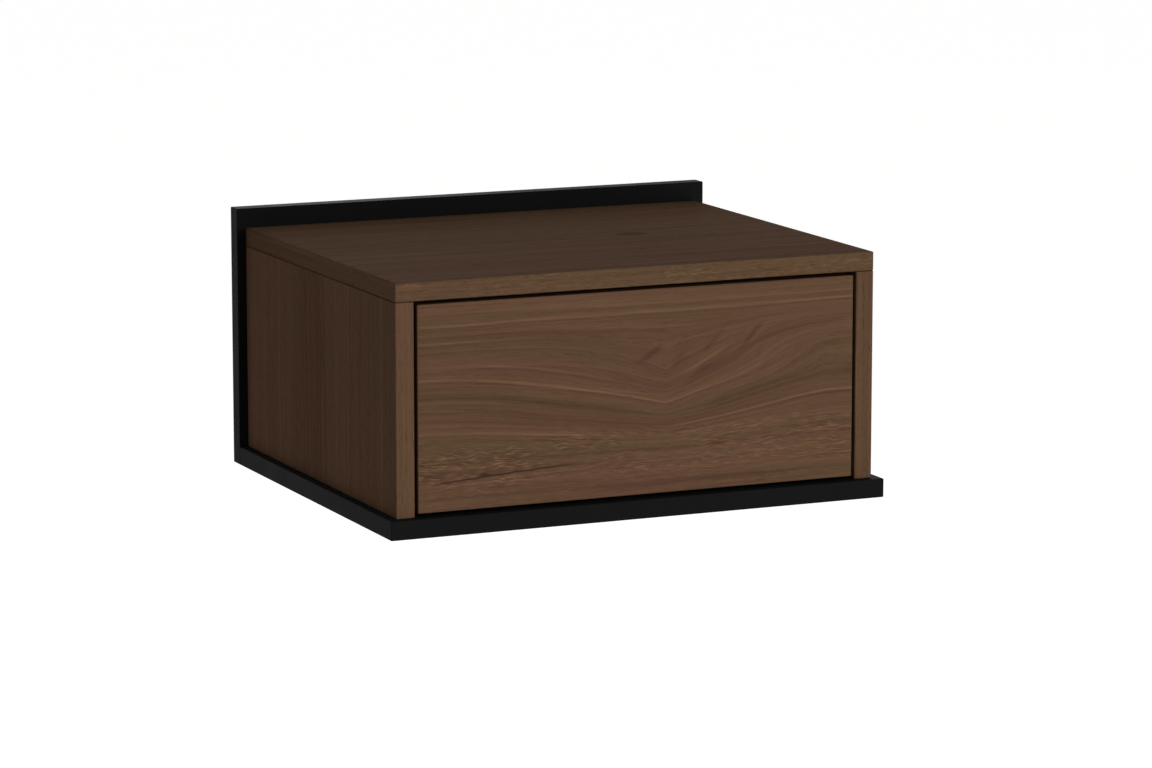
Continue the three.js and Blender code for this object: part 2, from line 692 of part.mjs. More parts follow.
// A lever in the plane of the slide: a finger pad towards the front, a hook towards the rear, a round hub.
function releaseLever(inward) {
  const pad = LEVER_PAD_HEIGHT / 2;
  const arm = LEVER_ARM_HEIGHT / 2;
  const hook = LEVER_HOOK_HEIGHT;
  const padEnd = LEVER_FRONT_REACH - LEVER_PAD_LENGTH;
  const outline = [
    [-LEVER_FRONT_REACH, -pad],
    [-padEnd, -pad],
    [-padEnd, -arm],
    [LEVER_REAR_REACH, -arm],
    [LEVER_REAR_REACH, hook - arm],
    [LEVER_REAR_REACH - LEVER_HOOK_LENGTH, hook - arm],
    [LEVER_REAR_REACH - LEVER_HOOK_LENGTH, arm],
    [-padEnd, arm],
    [-padEnd, pad],
    [-LEVER_FRONT_REACH, pad],
  ];
  const shape = new THREE.Shape(outline.map(([y, z]) => new THREE.Vector2(y, inward * z)));
  const arms = new THREE.ExtrudeGeometry(shape, { depth: LEVER_THICKNESS, bevelEnabled: false });
  arms.rotateX(Math.PI / 2).rotateZ(Math.PI / 2).translate(-LEVER_THICKNESS / 2, 0, 0);
  const half = LEVER_THICKNESS / 2;
  const hub = pointAlongX(rod(LEVER_HUB_RADIUS, -half, half, ROUND_SIDES), 1);
  const bore = rod(RIVET_RADIUS + RIVET_CLEARANCE, -LEVER_THICKNESS, LEVER_THICKNESS, ROUND_SIDES);
  return cut(join([arms, hub]), [pointAlongX(bore, 1)]);
}

function slideScrews(side, inward, kind, front, back, face, direction, length) {
  const items = [];
  for (const [end, y] of [["front", front + SLIDE_SCREW_INSET], ["rear", back - SLIDE_SCREW_INSET]]) {
    const turn = (geometry) => pointAlongX(geometry, direction * inward);
    const name = `slide_${kind}_screw_${side}_${end}`;
    items.push(fastener(name, SMALL_SCREW, length, [inward * face, y, 0], turn));
  }
  return items;
}

function cabinetScrews(side, inward) {
  const length = STEEL + SIDE_THICKNESS - SCREW_COVER;
  return slideScrews(side, inward, "cabinet", SLIDE_FRONT, SLIDE_BACK, STEEL, -1, length);
}

function drawerScrews(side, inward) {
  const length = STEEL + DRAWER_SIDE_THICKNESS - SCREW_COVER;
  const front = DRAWER_MEMBER_FRONT;
  return slideScrews(side, inward, "drawer", front, DRAWER_MEMBER_BACK, DRAWER_WEB, 1, length);
}

// Where a slide's own frame lies: on the inner face of the box side, at the height of the slide.
function slidePlace(inward) {
  return [(-inward * OPENING_WIDTH) / 2, 0, SLIDE_Z];
}

function placedHoles(items, place) {
  return items.map((item) => holeOf(item).translate(...place));
}

// Push latch, on the base panel behind the middle of the drawer front

function latchScrews() {
  const items = [];
  const length = LATCH_FLANGE_THICKNESS + BASE_THICKNESS - SCREW_COVER;
  const y = LATCH_FRONT + LATCH_FLANGE_SETBACK + LATCH_FLANGE_LENGTH / 2;
  const x = (LATCH_FLANGE_WIDTH + LATCH_WIDTH) / 4;
  for (const { side, inward } of SIDES) {
    const place = [-inward * x, y, BASE_THICKNESS + LATCH_FLANGE_THICKNESS];
    items.push(fastener(`latch_screw_${side}`, SMALL_SCREW, length, place, pointDown));
  }
  return items;
}

function latchHousing() {
  const half = LATCH_WIDTH / 2;
  const low = BASE_THICKNESS;
  const barrel = block([-half, LATCH_FRONT, low], [half, LATCH_FRONT + LATCH_LENGTH, low + LATCH_HEIGHT]);
  const flangeFront = LATCH_FRONT + LATCH_FLANGE_SETBACK;
  const wide = LATCH_FLANGE_WIDTH / 2;
  const flangeHigh = low + LATCH_FLANGE_THICKNESS;
  const flange = block([-wide, flangeFront, low], [wide, flangeFront + LATCH_FLANGE_LENGTH, flangeHigh]);
  const bore = rod(PLUNGER_RADIUS + FIT_GAP, LATCH_FRONT - OVERRUN, LATCH_BORE_END, ROUND_SIDES);
  bore.translate(0, 0, LATCH_AXIS_Z);
  return cut(join([barrel, flange]), [bore, ...latchScrews().map(holeOf)]);
}

function latchSpring() {
  const front = PLUNGER_REAR + FIT_GAP + SPRING_WIRE_RADIUS;
  const back = LATCH_BORE_END - FIT_GAP - SPRING_WIRE_RADIUS;
  const steps = SPRING_TURNS * COIL_STEPS_PER_TURN;
  const points = [];
  for (let step = 0; step <= steps; step += 1) {
    const angle = (step / COIL_STEPS_PER_TURN) * Math.PI * 2;
    const y = THREE.MathUtils.lerp(front, back, step / steps);
    points.push(new THREE.Vector3(SPRING_RADIUS * Math.cos(angle), y, SPRING_RADIUS * Math.sin(angle)));
  }
  const wire = new THREE.Shape();
  wire.absarc(0, 0, SPRING_WIRE_RADIUS, 0, Math.PI * 2, false);
  const options = { steps, curveSegments: WIRE_SIDES / 2, extrudePath: new THREE.CatmullRomCurve3(points) };
  return new THREE.ExtrudeGeometry(wire, options);
}

// Drawer box boards

function drawerGroove() {
  const half = DRAWER_INSIDE_WIDTH / 2 + GROOVE_DEPTH;
  const front = FRONT_REAR_FACE - GROOVE_DEPTH;
  return block([-half, front, GROOVE_LOW], [half, DRAWER_BACK_FACE + OVERRUN, GROOVE_HIGH]);
}

// Dowels glued into the ends of the sides, which reach into the rear face of the drawer front.
function frontDowel(inward, z, grow) {
  const front = FRONT_REAR_FACE - DOWEL_REACH - grow;
  const back = FRONT_REAR_FACE + DOWEL_REACH;
  return rod(DOWEL_RADIUS + grow, front, back, SCREW_SIDES).translate(-inward * DRAWER_SIDE_X, 0, z);
}

// Dowels glued into the ends of the drawer back, which reach into the inner faces of the sides.
function backDowel(inward, z, grow) {
  const y = DRAWER_BACK_FACE - DRAWER_BACK_THICKNESS / 2;
  const dowel = rod(BACK_DOWEL_RADIUS + grow, -BACK_DOWEL_REACH, BACK_DOWEL_REACH + grow, SCREW_SIDES);
  return pointAlongX(dowel, inward).translate((-inward * DRAWER_INSIDE_WIDTH) / 2, y, z);
}

const DOWEL_LEVELS = [DRAWER_LOW + DOWEL_EDGE_INSET, DRAWER_HIGH - DOWEL_EDGE_INSET];

function addDrawerBox(drawer) {
  const groove = drawerGroove();
  const slideScrewHoles = SIDES.map(({ side, inward }) =>
    placedHoles(drawerScrews(side, inward), slidePlace(inward)),
  );
  SIDES.forEach(({ side, inward }, index) => {
    const outer = (-inward * DRAWER_BOX_WIDTH) / 2;
    const inner = (-inward * DRAWER_INSIDE_WIDTH) / 2;
    const low = [Math.min(outer, inner), FRONT_REAR_FACE, DRAWER_LOW];
    const high = [Math.max(outer, inner), DRAWER_BACK_FACE, DRAWER_HIGH];
    const backHoles = DOWEL_LEVELS.map((z) => backDowel(inward, z, FIT_GAP));
    const board = easedBoardBetween(low, high);
    const sawn = cut(board, [groove, ...backHoles, ...slideScrewHoles[index]]);
    const pegged = join([sawn, ...DOWEL_LEVELS.map((z) => frontDowel(inward, z, 0))]);
    addMesh(drawer, `drawer_side_${side}`, pegged, drawerBoard);
  });
  const halfInside = DRAWER_INSIDE_WIDTH / 2;
  const backLow = [-halfInside, DRAWER_BACK_FACE - DRAWER_BACK_THICKNESS, GROOVE_HIGH];
  const back = easedBoardBetween(backLow, [halfInside, DRAWER_BACK_FACE, DRAWER_HIGH]);
  const pegs = SIDES.flatMap(({ inward }) => DOWEL_LEVELS.map((z) => backDowel(inward, z, 0)));
  addMesh(drawer, "drawer_back", join([back, ...pegs]), drawerBoard);
  const halfBottom = halfInside + GROOVE_DEPTH - FIT_GAP;
  const bottomLow = [-halfBottom, FRONT_REAR_FACE - GROOVE_DEPTH + FIT_GAP, GROOVE_LOW + FIT_GAP];
  const bottomHigh = [halfBottom, DRAWER_BACK_FACE, GROOVE_HIGH - FIT_GAP];
  addMesh(drawer, "drawer_bottom", block(bottomLow, bottomHigh), hardboard);
}

function easedBoardBetween(low, high) {
  const size = high.map((value, axis) => value - low[axis]);
  const centre = high.map((value, axis) => (value + low[axis]) / 2);
  return easedBoard(...size).translate(...centre);
}

function addDrawerFront(drawer) {
  const half = OPENING_WIDTH / 2 - FRONT_REVEAL;
  const low = [-half, BOX_FRONT, BASE_THICKNESS + FRONT_REVEAL];
  const high = [half, FRONT_REAR_FACE, SIDE_TOP - FRONT_REVEAL];
  const holes = SIDES.flatMap(({ inward }) => DOWEL_LEVELS.map((z) => frontDowel(inward, z, FIT_GAP)));
  addBoard(drawer, "drawer_front", walnut, low, high, [drawerGroove(), ...holes]);
  const strikeLow = low[2] + FIT_GAP;
  const strikeHigh = strikeLow + STRIKE_HEIGHT;
  const wide = STRIKE_WIDTH / 2;
  const strikeBack = FRONT_REAR_FACE + STRIKE_THICKNESS;
  const strike = block([-wide, FRONT_REAR_FACE, strikeLow], [wide, strikeBack, strikeHigh]);
  addMesh(drawer, "latch_strike_plate", strike, zinc);
}

function addCarcass(carcass) {
  const base = baseScrews();
  const back = backScrews();
  const plates = plateScrews();
  const latch = latchScrews();
  const cams = camPlaces();
  const halfFrame = FRAME_WIDTH / 2;
  const halfBox = BOX_WIDTH / 2;
  const recesses = SIDES.flatMap(({ inward }) => plateRecess(-inward * PLATE_X));
  const backTools = [...back.map(holeOf), ...recesses, ...plates.map(holeOf)];
  const backHigh = [halfFrame, 0, BOX_TOP + UPSTAND];
  addBoard(carcass, "back_panel", blackBoard, [-halfFrame, BOX_BACK, 0], backHigh, backTools);
  const baseTools = [...base, ...back, ...latch].map(holeOf);
  const baseHigh = [halfFrame, BOX_BACK, BASE_THICKNESS];
  addBoard(carcass, "base_panel", blackBoard, [-halfFrame, BASE_FRONT, 0], baseHigh, baseTools);
  const topLow = [-halfBox, BOX_FRONT, SIDE_TOP];
  addBoard(carcass, "top_panel", walnut, topLow, [halfBox, BOX_BACK, BOX_TOP], cams.map(threadHole));
  for (const { side, inward } of SIDES) {
    const outer = (-inward * BOX_WIDTH) / 2;
    const inner = (-inward * OPENING_WIDTH) / 2;
    const low = [Math.min(outer, inner), BOX_FRONT, BASE_THICKNESS];
    const high = [Math.max(outer, inner), BOX_BACK, SIDE_TOP];
    const ownCams = cams.filter((place) => place.inward === inward);
    const camTools = ownCams.flatMap((place) => [camPocket(place), shaftHole(place)]);
    const slideHoles = placedHoles(cabinetScrews(side, inward), slidePlace(inward));
    const tools = [...[...base, ...back].map(holeOf), ...camTools, ...slideHoles];
    addBoard(carcass, `side_panel_${side}`, walnut, low, high, tools);
  }
  addFasteners(carcass, [...base, ...back, ...plates]);
  for (const place of cams) {
    addMesh(carcass, `cam_lock_${place.name}`, camLock(place.inward), zinc, camOrigin(place));
    addMesh(carcass, `cam_bolt_${place.name}`, camBolt(0), zinc, place.bolt);
  }
}

function addKeyholePlates(carcass) {
  for (const { side, inward } of SIDES) {
    const place = [-inward * PLATE_X, 0, HANG_RISE];
    const back = place.map((value) => -value);
    const own = plateScrews().filter((item) => item.name.includes(side));
    const holes = own.map((item) => holeOf(item).translate(...back));
    addMesh(carcass, `keyhole_plate_${side}`, keyholePlate(holes), zinc, place);
  }
}

function addSlide(side, inward, groups) {
  const place = slidePlace(inward);
  const outerBallX = MIDDLE_WEB + STEEL + FIT_GAP + BALL_RADIUS;
  const innerBallX = DRAWER_SHOULDER + STEEL + FIT_GAP + BALL_RADIUS;
  const outerCage = ballCage(inward, STEEL + FIT_GAP, OUTER_RACE, outerBallX);
  const innerCage = ballCage(inward, MIDDLE_WEB + STEEL + FIT_GAP, INNER_RACE, innerBallX);
  const cabinet = cabinetScrews(side, inward);
  const drawer = drawerScrews(side, inward);
  const fixed = addGroup(groups.carcass, place);
  addMesh(fixed, `slide_cabinet_member_${side}`, cabinetMember(inward, cabinet.map(holeOf)), zinc);
  addFasteners(fixed, cabinet);
  const moving = addGroup(groups.slides, place);
  addMesh(moving, `slide_outer_ball_cage_${side}`, outerCage, steel);
  addMesh(moving, `slide_middle_member_${side}`, middleMember(inward), zinc);
  addMesh(moving, `slide_inner_ball_cage_${side}`, innerCage, steel);
  const carried = addGroup(groups.drawer, place);
  addMesh(carried, `slide_drawer_member_${side}`, drawerMember(inward, drawer.map(holeOf)), zinc);
  addFasteners(carried, drawer);
  const leverX = inward * (DRAWER_WEB - FIT_GAP - LEVER_THICKNESS / 2);
  const leverPlace = [leverX, DRAWER_MEMBER_FRONT + LEVER_SETBACK, 0];
  addMesh(carried, `slide_release_lever_${side}`, releaseLever(inward), blackPlastic, leverPlace);
}

function addLatch(carcass) {
  addMesh(carcass, "latch_housing", latchHousing(), greyPlastic);
  addFasteners(carcass, latchScrews());
  const axis = [0, 0, LATCH_AXIS_Z];
  const plunger = rod(PLUNGER_RADIUS, PLUNGER_FRONT, PLUNGER_REAR, ROUND_SIDES);
  addMesh(carcass, "latch_plunger", plunger, greyPlastic, axis);
  addMesh(carcass, "latch_plunger_tip", rod(TIP_RADIUS, TIP_FRONT, PLUNGER_FRONT, ROUND_SIDES), zinc, axis);
  addMesh(carcass, "latch_spring", latchSpring(), steel, axis);
}

const nightstand = new THREE.Group();
const assembly = addGroup(nightstand, [0, 0, -HANG_RISE]);
const groups = { carcass: addGroup(assembly), slides: addGroup(assembly), drawer: addGroup(assembly) };
addCarcass(groups.carcass);
addKeyholePlates(groups.carcass);
addLatch(groups.carcass);
addDrawerFront(groups.drawer);
addDrawerBox(groups.drawer);
for (const { side, inward } of SIDES) {
  addSlide(side, inward, groups);
}

export default nightstand;
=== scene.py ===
import json
import math
from functools import cached_property
from types import SimpleNamespace

import bmesh
import bpy
from mathutils import Matrix, Vector


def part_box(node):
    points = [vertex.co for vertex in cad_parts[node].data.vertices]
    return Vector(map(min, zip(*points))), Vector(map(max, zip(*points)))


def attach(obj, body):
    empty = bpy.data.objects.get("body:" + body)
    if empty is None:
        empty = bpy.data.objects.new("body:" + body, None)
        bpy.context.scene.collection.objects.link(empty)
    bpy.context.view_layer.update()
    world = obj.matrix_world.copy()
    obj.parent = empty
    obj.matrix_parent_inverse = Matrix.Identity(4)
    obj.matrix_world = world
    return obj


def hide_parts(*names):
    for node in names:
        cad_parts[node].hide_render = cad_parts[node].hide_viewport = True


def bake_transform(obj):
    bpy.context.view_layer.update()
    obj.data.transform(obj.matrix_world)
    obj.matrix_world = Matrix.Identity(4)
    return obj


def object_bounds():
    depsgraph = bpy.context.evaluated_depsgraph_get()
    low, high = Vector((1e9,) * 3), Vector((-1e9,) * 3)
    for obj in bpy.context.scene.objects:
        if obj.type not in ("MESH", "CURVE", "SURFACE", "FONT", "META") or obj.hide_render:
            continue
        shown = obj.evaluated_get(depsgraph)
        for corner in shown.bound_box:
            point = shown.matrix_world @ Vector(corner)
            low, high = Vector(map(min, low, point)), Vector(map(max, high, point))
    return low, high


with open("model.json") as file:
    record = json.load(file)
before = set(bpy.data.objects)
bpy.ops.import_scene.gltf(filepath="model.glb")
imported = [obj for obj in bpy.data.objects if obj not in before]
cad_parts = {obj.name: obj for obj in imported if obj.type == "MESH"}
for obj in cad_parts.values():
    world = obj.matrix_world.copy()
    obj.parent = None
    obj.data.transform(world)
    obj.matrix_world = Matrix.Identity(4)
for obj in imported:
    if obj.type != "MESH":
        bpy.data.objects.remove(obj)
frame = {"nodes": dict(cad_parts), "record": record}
cad_low, cad_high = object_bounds()

MM = 0.001
SMOOTH_BELOW = math.radians(35)
SIDES = {"left": 1, "right": -1}


def sizes(**lengths):
    """Lengths that are given in millimetres, in metres."""
    return SimpleNamespace(**{name: length * MM for name, length in lengths.items()})


# Camera: its place, where it looks and the lens that gives the photograph's perspective
CAMERA = SimpleNamespace(
    place=(-1.59767, -3.82045, 0.61122), turn=0.4194, drop=0.174, lens=145.945, sensor=36,
)

# Light: a plain level at which a colour renders about as it is written
AMBIENT = 0.34
LAMPS = {
    "key": dict(place=(1.0, -3.4, 0.22), size=1.8, power=76),
    "rim": dict(place=(0.2, 2.4, 0.4), size=1.6, power=4),
}
FLOOR = SimpleNamespace(drop=0.5, reach=60, colour=(0.8, 0.8, 0.79), glow=0.72)

# Colours, as they are read off the photograph or, inside, as such furniture has them
WALNUT_RED = (96, 70, 54)
WALNUT_OLIVE = (91, 70, 51)
WALNUT_DARK = (58, 42, 32)
BLACK_LAMINATE = (20, 20, 20)
DRAWER_LAMINATE = (58, 58, 60)
HARDBOARD_PAINT = (48, 48, 50)
ZINC_SHEET = (172, 174, 177)
ZINC_FASTENER = (158, 158, 156)
BALL_STEEL = (210, 212, 214)
SPRING_WIRE = (150, 152, 154)
BLACK_MOULDING = (30, 30, 32)
GREY_MOULDING = (120, 122, 126)

# The lines at a board's edges: seams of the edge bands, and painted shade in the joints with its neighbours
BAND_SEAM = 1 * MM
SEAM_WIDTH = 0.12 * MM
SEAM_SHARE = -0.35
JOINT_SHADE_WIDTH = 0.9 * MM
JOINT_SHADE_SHARE = -0.60

# Modelling: how far a face tips from an axis at most, a cut's overrun, a cleared fit, a broken edge, and the
# steps of round shapes
END_FACE_TILT = 0.7
OVERRUN = 1 * MM
FIT = 0.3 * MM
EDGE = 0.25 * MM
TINY = 0.01 * MM
WELD = 0.004 * MM
TURNED_SIDES = 32
HEXAGON = 6
TRIANGLE = 3
CORNER_STEPS = 5
BEND_STEPS = 3

# Screws: sizes of the head and its rim and cone, the plain core, the thread, the point and the drive
SMALL_SCREW = sizes(
    head=3.5, rim=0.3, cone=1.9, core=1.2, thread=1.75, pitch=1.5, point=4, drive=2, depth=1.5,
)
LONG_SCREW = sizes(head=5, rim=0.8, cone=2.6, core=2.4, thread=3.4, pitch=3, point=7, drive=2.3, depth=2.2)
RIDGE_STEPS = (0, 0.3, 0.4, 0.7)
POINT_RADIUS = 0.2 * MM
BAR_SHARE = 0.42
RECESS_TAPER = 0.6
SINK_DEPTH = 6 * MM

# Cam locks and their bolts
CAM = sizes(
    radius=7.5, rim=1.2, recess=0.4, depth=12.5, bolt_depth=8, mouth=7, jaw=3.6, throat=4.6, cross=8,
    cross_width=1.4, cross_depth=2.5, drop=34, arrow_radius=0.9, arrow_depth=0.3,
)
BOLT = sizes(
    head=3, head_radius=3.2, neck_radius=2, shaft_radius=3.4, thread_radius=2.9, thread_depth=0.7,
    thread_length=11,
)
BOLT_RIDGES = 4

# Keyhole plates
KEYHOLE = sizes(corner=5, radius=5.5, slot=5.6, length=12)

# Slides: distances inwards from the box side, and heights above the slide's middle
STEEL = 1.2 * MM
CABINET = sizes(half=22.5, lip=8.8, lip_low=19.9)
MIDDLE = sizes(web=2.4, shoulder=18.7, flange=17.3, lip=11.2, lip_low=14.7)
DRAWER = sizes(shoulder=4.8, shoulder_high=13.5, flange=12.1, depth=12.7)
TAB = sizes(half=6, reach=11.5, corner=1.5)
BEND = sizes(outside=1.1, inside=0.3, least=1.3)
STOP_GAP = 0.05 * MM
PUNCH = sizes(pitch=32, radius=2.3, slot=5, access_radius=4.5, screw_inset=37)
PUNCH_SIDES = 20

# Ball cages
CAGE = sizes(sheet=0.6, reach=5.8, end=8, outer_web=1.5, inner_web=3.9, outer_race=21.3, inner_race=16.1)
BALL = sizes(lane=4, radius=1.7, play=0.15)
BALLS_PER_ROW = 5
BALL_SEGMENTS = 20

# Release levers and the rivets that they turn on
LEVER = sizes(
    setback=110, thickness=2.4, reach=30, tail=20, pad=10, pad_height=8, arm=4, hook=4, hook_height=6,
    hub=4.4, corner=0.8, groove=0.7,
)
LEVER_GROOVES = 4
RIVET = sizes(head=3.2, height=0.8, neck=1.8, play=0.2)

# Push latch
LATCH = sizes(
    width=15, round=3, flange=2.5, flange_setback=20, flange_length=30, corner=3, gusset=1.8, rise=5,
    rear_wall=3, window=3, bore=4.5,
)
PLUNGER_GROOVES = 3
PLUNGER = sizes(groove=0.4, neck=5, pitch=4)
WIRE_RADIUS = 0.45 * MM
WIRE_SIDES = 12
SPRING_TURNS = 7
STEPS_PER_TURN = 28
STRIKE = sizes(corner=2, edge=0.25)


def linear(colour):
    """The linear colour of three screen values from 0 to 255."""
    shares = [value / 255 for value in colour]
    return tuple(s / 12.92 if s <= 0.04045 else ((s + 0.055) / 1.055) ** 2.4 for s in shares)


class Value:
    """The output of a node. Reckoning with values adds the nodes that do it."""

    def __init__(self, nodes, socket):
        self.nodes, self.socket = nodes, socket

    def __rsub__(self, other):
        return self.nodes.math("SUBTRACT", other, self)


def reckoned(operation):
    return lambda value, *others: value.nodes.math(operation, value, *others)


SIGNS = dict(
    add="ADD", radd="ADD", sub="SUBTRACT", mul="MULTIPLY", rmul="MULTIPLY", truediv="DIVIDE", pow="POWER",
    lt="LESS_THAN", gt="GREATER_THAN", abs="ABSOLUTE",
)
for sign, operation in SIGNS.items():
    setattr(Value, f"__{sign}__", reckoned(operation))


class Nodes:
    """A node tree. Each method adds a node and hands back its output."""

    def __init__(self, tree):
        self.nodes, self.links = tree.nodes, tree.links

    def feed(self, socket, value):
        if isinstance(value, Value):
            self.links.new(value.socket, socket)
        else:
            socket.default_value = value

    def made(self, kind, sockets, output=0, **settings):
        """A new node with its settings, and with its sockets fed in their order or by their names."""
        node = self.nodes.new(f"ShaderNode{kind}")
        for setting, value in settings.items():
            setattr(node, setting, value)
        for key, value in sockets.items() if isinstance(sockets, dict) else enumerate(sockets):
            self.feed(node.inputs[key], value)
        return Value(self, node.outputs[output])

    def math(self, operation, *values):
        return self.made("Math", values, operation=operation)


class Finish(Nodes):
    """One node material, with the place on its piece and that place's X, Y and Z."""

    def __init__(self, name, specular=0.5, metallic=0.0):
        self.material = bpy.data.materials.new(name)
        self.material.use_nodes = True
        super().__init__(self.material.node_tree)
        self.shade("Specular IOR Level", specular)
        self.shade("Metallic", metallic)

    @cached_property
    def place(self):
        return self.made("TexCoord", (), "Object")

    @cached_property
    def parts(self):
        return self.split(self.place)

    def shade(self, name, value):
        """Feeds one of the shader's own sockets."""
        self.feed(self.nodes["Principled BSDF"].inputs[name], value)

    def split(self, vector):
        node = self.nodes.new("ShaderNodeSeparateXYZ")
        self.feed(node.inputs[0], vector)
        return {name: Value(self, output) for name, output in zip("xyz", node.outputs)}

    def join(self, *parts):
        return self.made("CombineXYZ", parts)

    def noise(self, vector, scale, detail=2.0, rough=0.5, move=(0, 0, 0)):
        """A noise from 0 to 1. The scale is its waves to a metre, along all axes or along each."""
        scale = scale if isinstance(scale, tuple) else (scale, scale, scale)
        placed = self.made("Mapping", {"Vector": vector, "Scale": scale, "Location": move})
        waves = {"Vector": placed, "Scale": 1, "Detail": detail, "Roughness": rough}
        return self.made("TexNoise", waves, "Fac")

    def ramp(self, value, start, end, low=0.0, high=1.0):
        """Takes the value from start to end to the range from low to high, smoothly, and holds it outside."""
        return self.made("MapRange", (value, start, end, low, high), interpolation_type="SMOOTHSTEP")

    def ridge(self, value, place, width, height=1.0):
        """The height at a place, and less of it on both sides, down to nothing at the width."""
        return self.ramp(abs(value - place), 0, width, height, 0)

    def blend(self, share, *colours):
        first, second = (c if isinstance(c, Value) else (*linear(c), 1) for c in colours)
        return self.made("Mix", {0: share, 6: first, 7: second}, 2, data_type="RGBA")

    def pick(self, share, first, second):
        return self.made("Mix", {0: share, 4: first, 5: second}, 1, data_type="VECTOR")

    def scaled(self, colour, factor):
        return self.made("VectorMath", {0: colour, "Scale": factor}, operation="SCALE")

    def bump(self, height, depth, strength):
        self.shade("Normal", self.made("Bump", {"Strength": strength, "Distance": depth, "Height": height}))


# Walnut


def swing(noise, reach):
    """Turns a noise from 0 to 1 into one that swings about zero."""
    return (noise - 0.5) * reach


def lines_along(finish, box, edges, inset, shape):
    """Lines beside a board's edges, each named by its axis and end. The shape draws one beside its place."""
    found = 0.0
    for name, end in edges:
        number = "xyz".index(name)
        edge = box[0][number] + inset if end == "-" else box[1][number] - inset
        found = finish.math("MAXIMUM", shape(finish.parts[name], edge), found)
    return found


def seams(finish, box, edges):
    """The thin lines where the edge bands meet the face, a band's thickness from each edge."""
    return lines_along(finish, box, edges, BAND_SEAM, lambda part, edge: abs(part - edge) < SEAM_WIDTH / 2)


def painted_joint_shade(finish, box, edges):
    """A painted shade line where a board meets its neighbour, standing in for the shade in the gap."""
    return lines_along(finish, box, edges, 0, lambda part, edge: finish.ridge(part, edge, JOINT_SHADE_WIDTH))


# What walnut is made of: how many streaks there are to a metre along and across the grain, how finely each
# kind is broken up, and how much of the tone it changes from its darkest to its lightest
WALNUT_LAYERS = {
    "bands": dict(along=1.6, across=34, detail=2, share=0.26),
    "growth": dict(along=2.4, across=165, detail=4, share=0.46),
    "strands": dict(along=9, across=430, detail=3, share=0.50),
    "fibres": dict(along=50, across=1300, detail=2, share=0.30),
}
HUE_STREAKS = dict(along=1.4, across=55, detail=3)
HUE_SPREAD = 0.14

# Pores, and the growth rings: how many to a metre, how far they swing, and their early and late wood
PORES = dict(along=120, across=1500, detail=1.5)
PORE_RANGE = (0.58, 0.70)
PORE_SHARE = -0.30
PORE_HOLLOW = 2
RING_SWELL = dict(along=1.2, across=24, detail=1)
RING_RATE = 130
RING_SWING = 5.0
LATE_WOOD_SHARE = -0.11
LATE_WOOD_SHARPNESS = 5
EARLY_WOOD_SHARE = 0.11
EARLY_WOOD_SHARPNESS = 9

# Ripples across the grain: their waves, and the range of their noise with the shares at its two ends
RIPPLES = dict(along=85, across=800, detail=3)
RIPPLE_TONES = (0.44, 0.70, -0.13, 0.46)
RIPPLE_WAVES = (70, 60, 60)
RIPPLE_SWING = 0.006
RIPPLE_PATCHES = (20, 75, 75)
RIPPLE_PATCH_TONES = (0.38, 0.58, 0.35, 1.2)

# How far the grain wanders and curls, the shine and the relief
WANDER = 0.030
WANDER_WAVES = (1.7, 7, 7)
CURL = 0.0035
CURL_WAVES = (11, 34, 34)
WALNUT_GLOSS = 0.004
WALNUT_SHINE = (0.8, 1.2, 0.66, 0.58)
WALNUT_RELIEF = (0.03 * MM, 0.5)


def streaks(finish, lines, kind, seed):
    scale = (kind["along"], kind["across"], kind["across"])
    return finish.noise(lines, scale, kind["detail"], move=(seed, -seed, seed / 2))


def ripples(finish, seed):
    """Short wavy ripples that come and go in patches."""
    along, across, through = finish.split(finish.lines).values()
    wave = swing(finish.noise(finish.lines, RIPPLE_WAVES), RIPPLE_SWING)
    wavy = finish.join(along, across + wave, through)
    patches = finish.ramp(finish.noise(finish.lines, RIPPLE_PATCHES), *RIPPLE_PATCH_TONES)
    return finish.ramp(streaks(finish, wavy, RIPPLES, seed), *RIPPLE_TONES) * patches


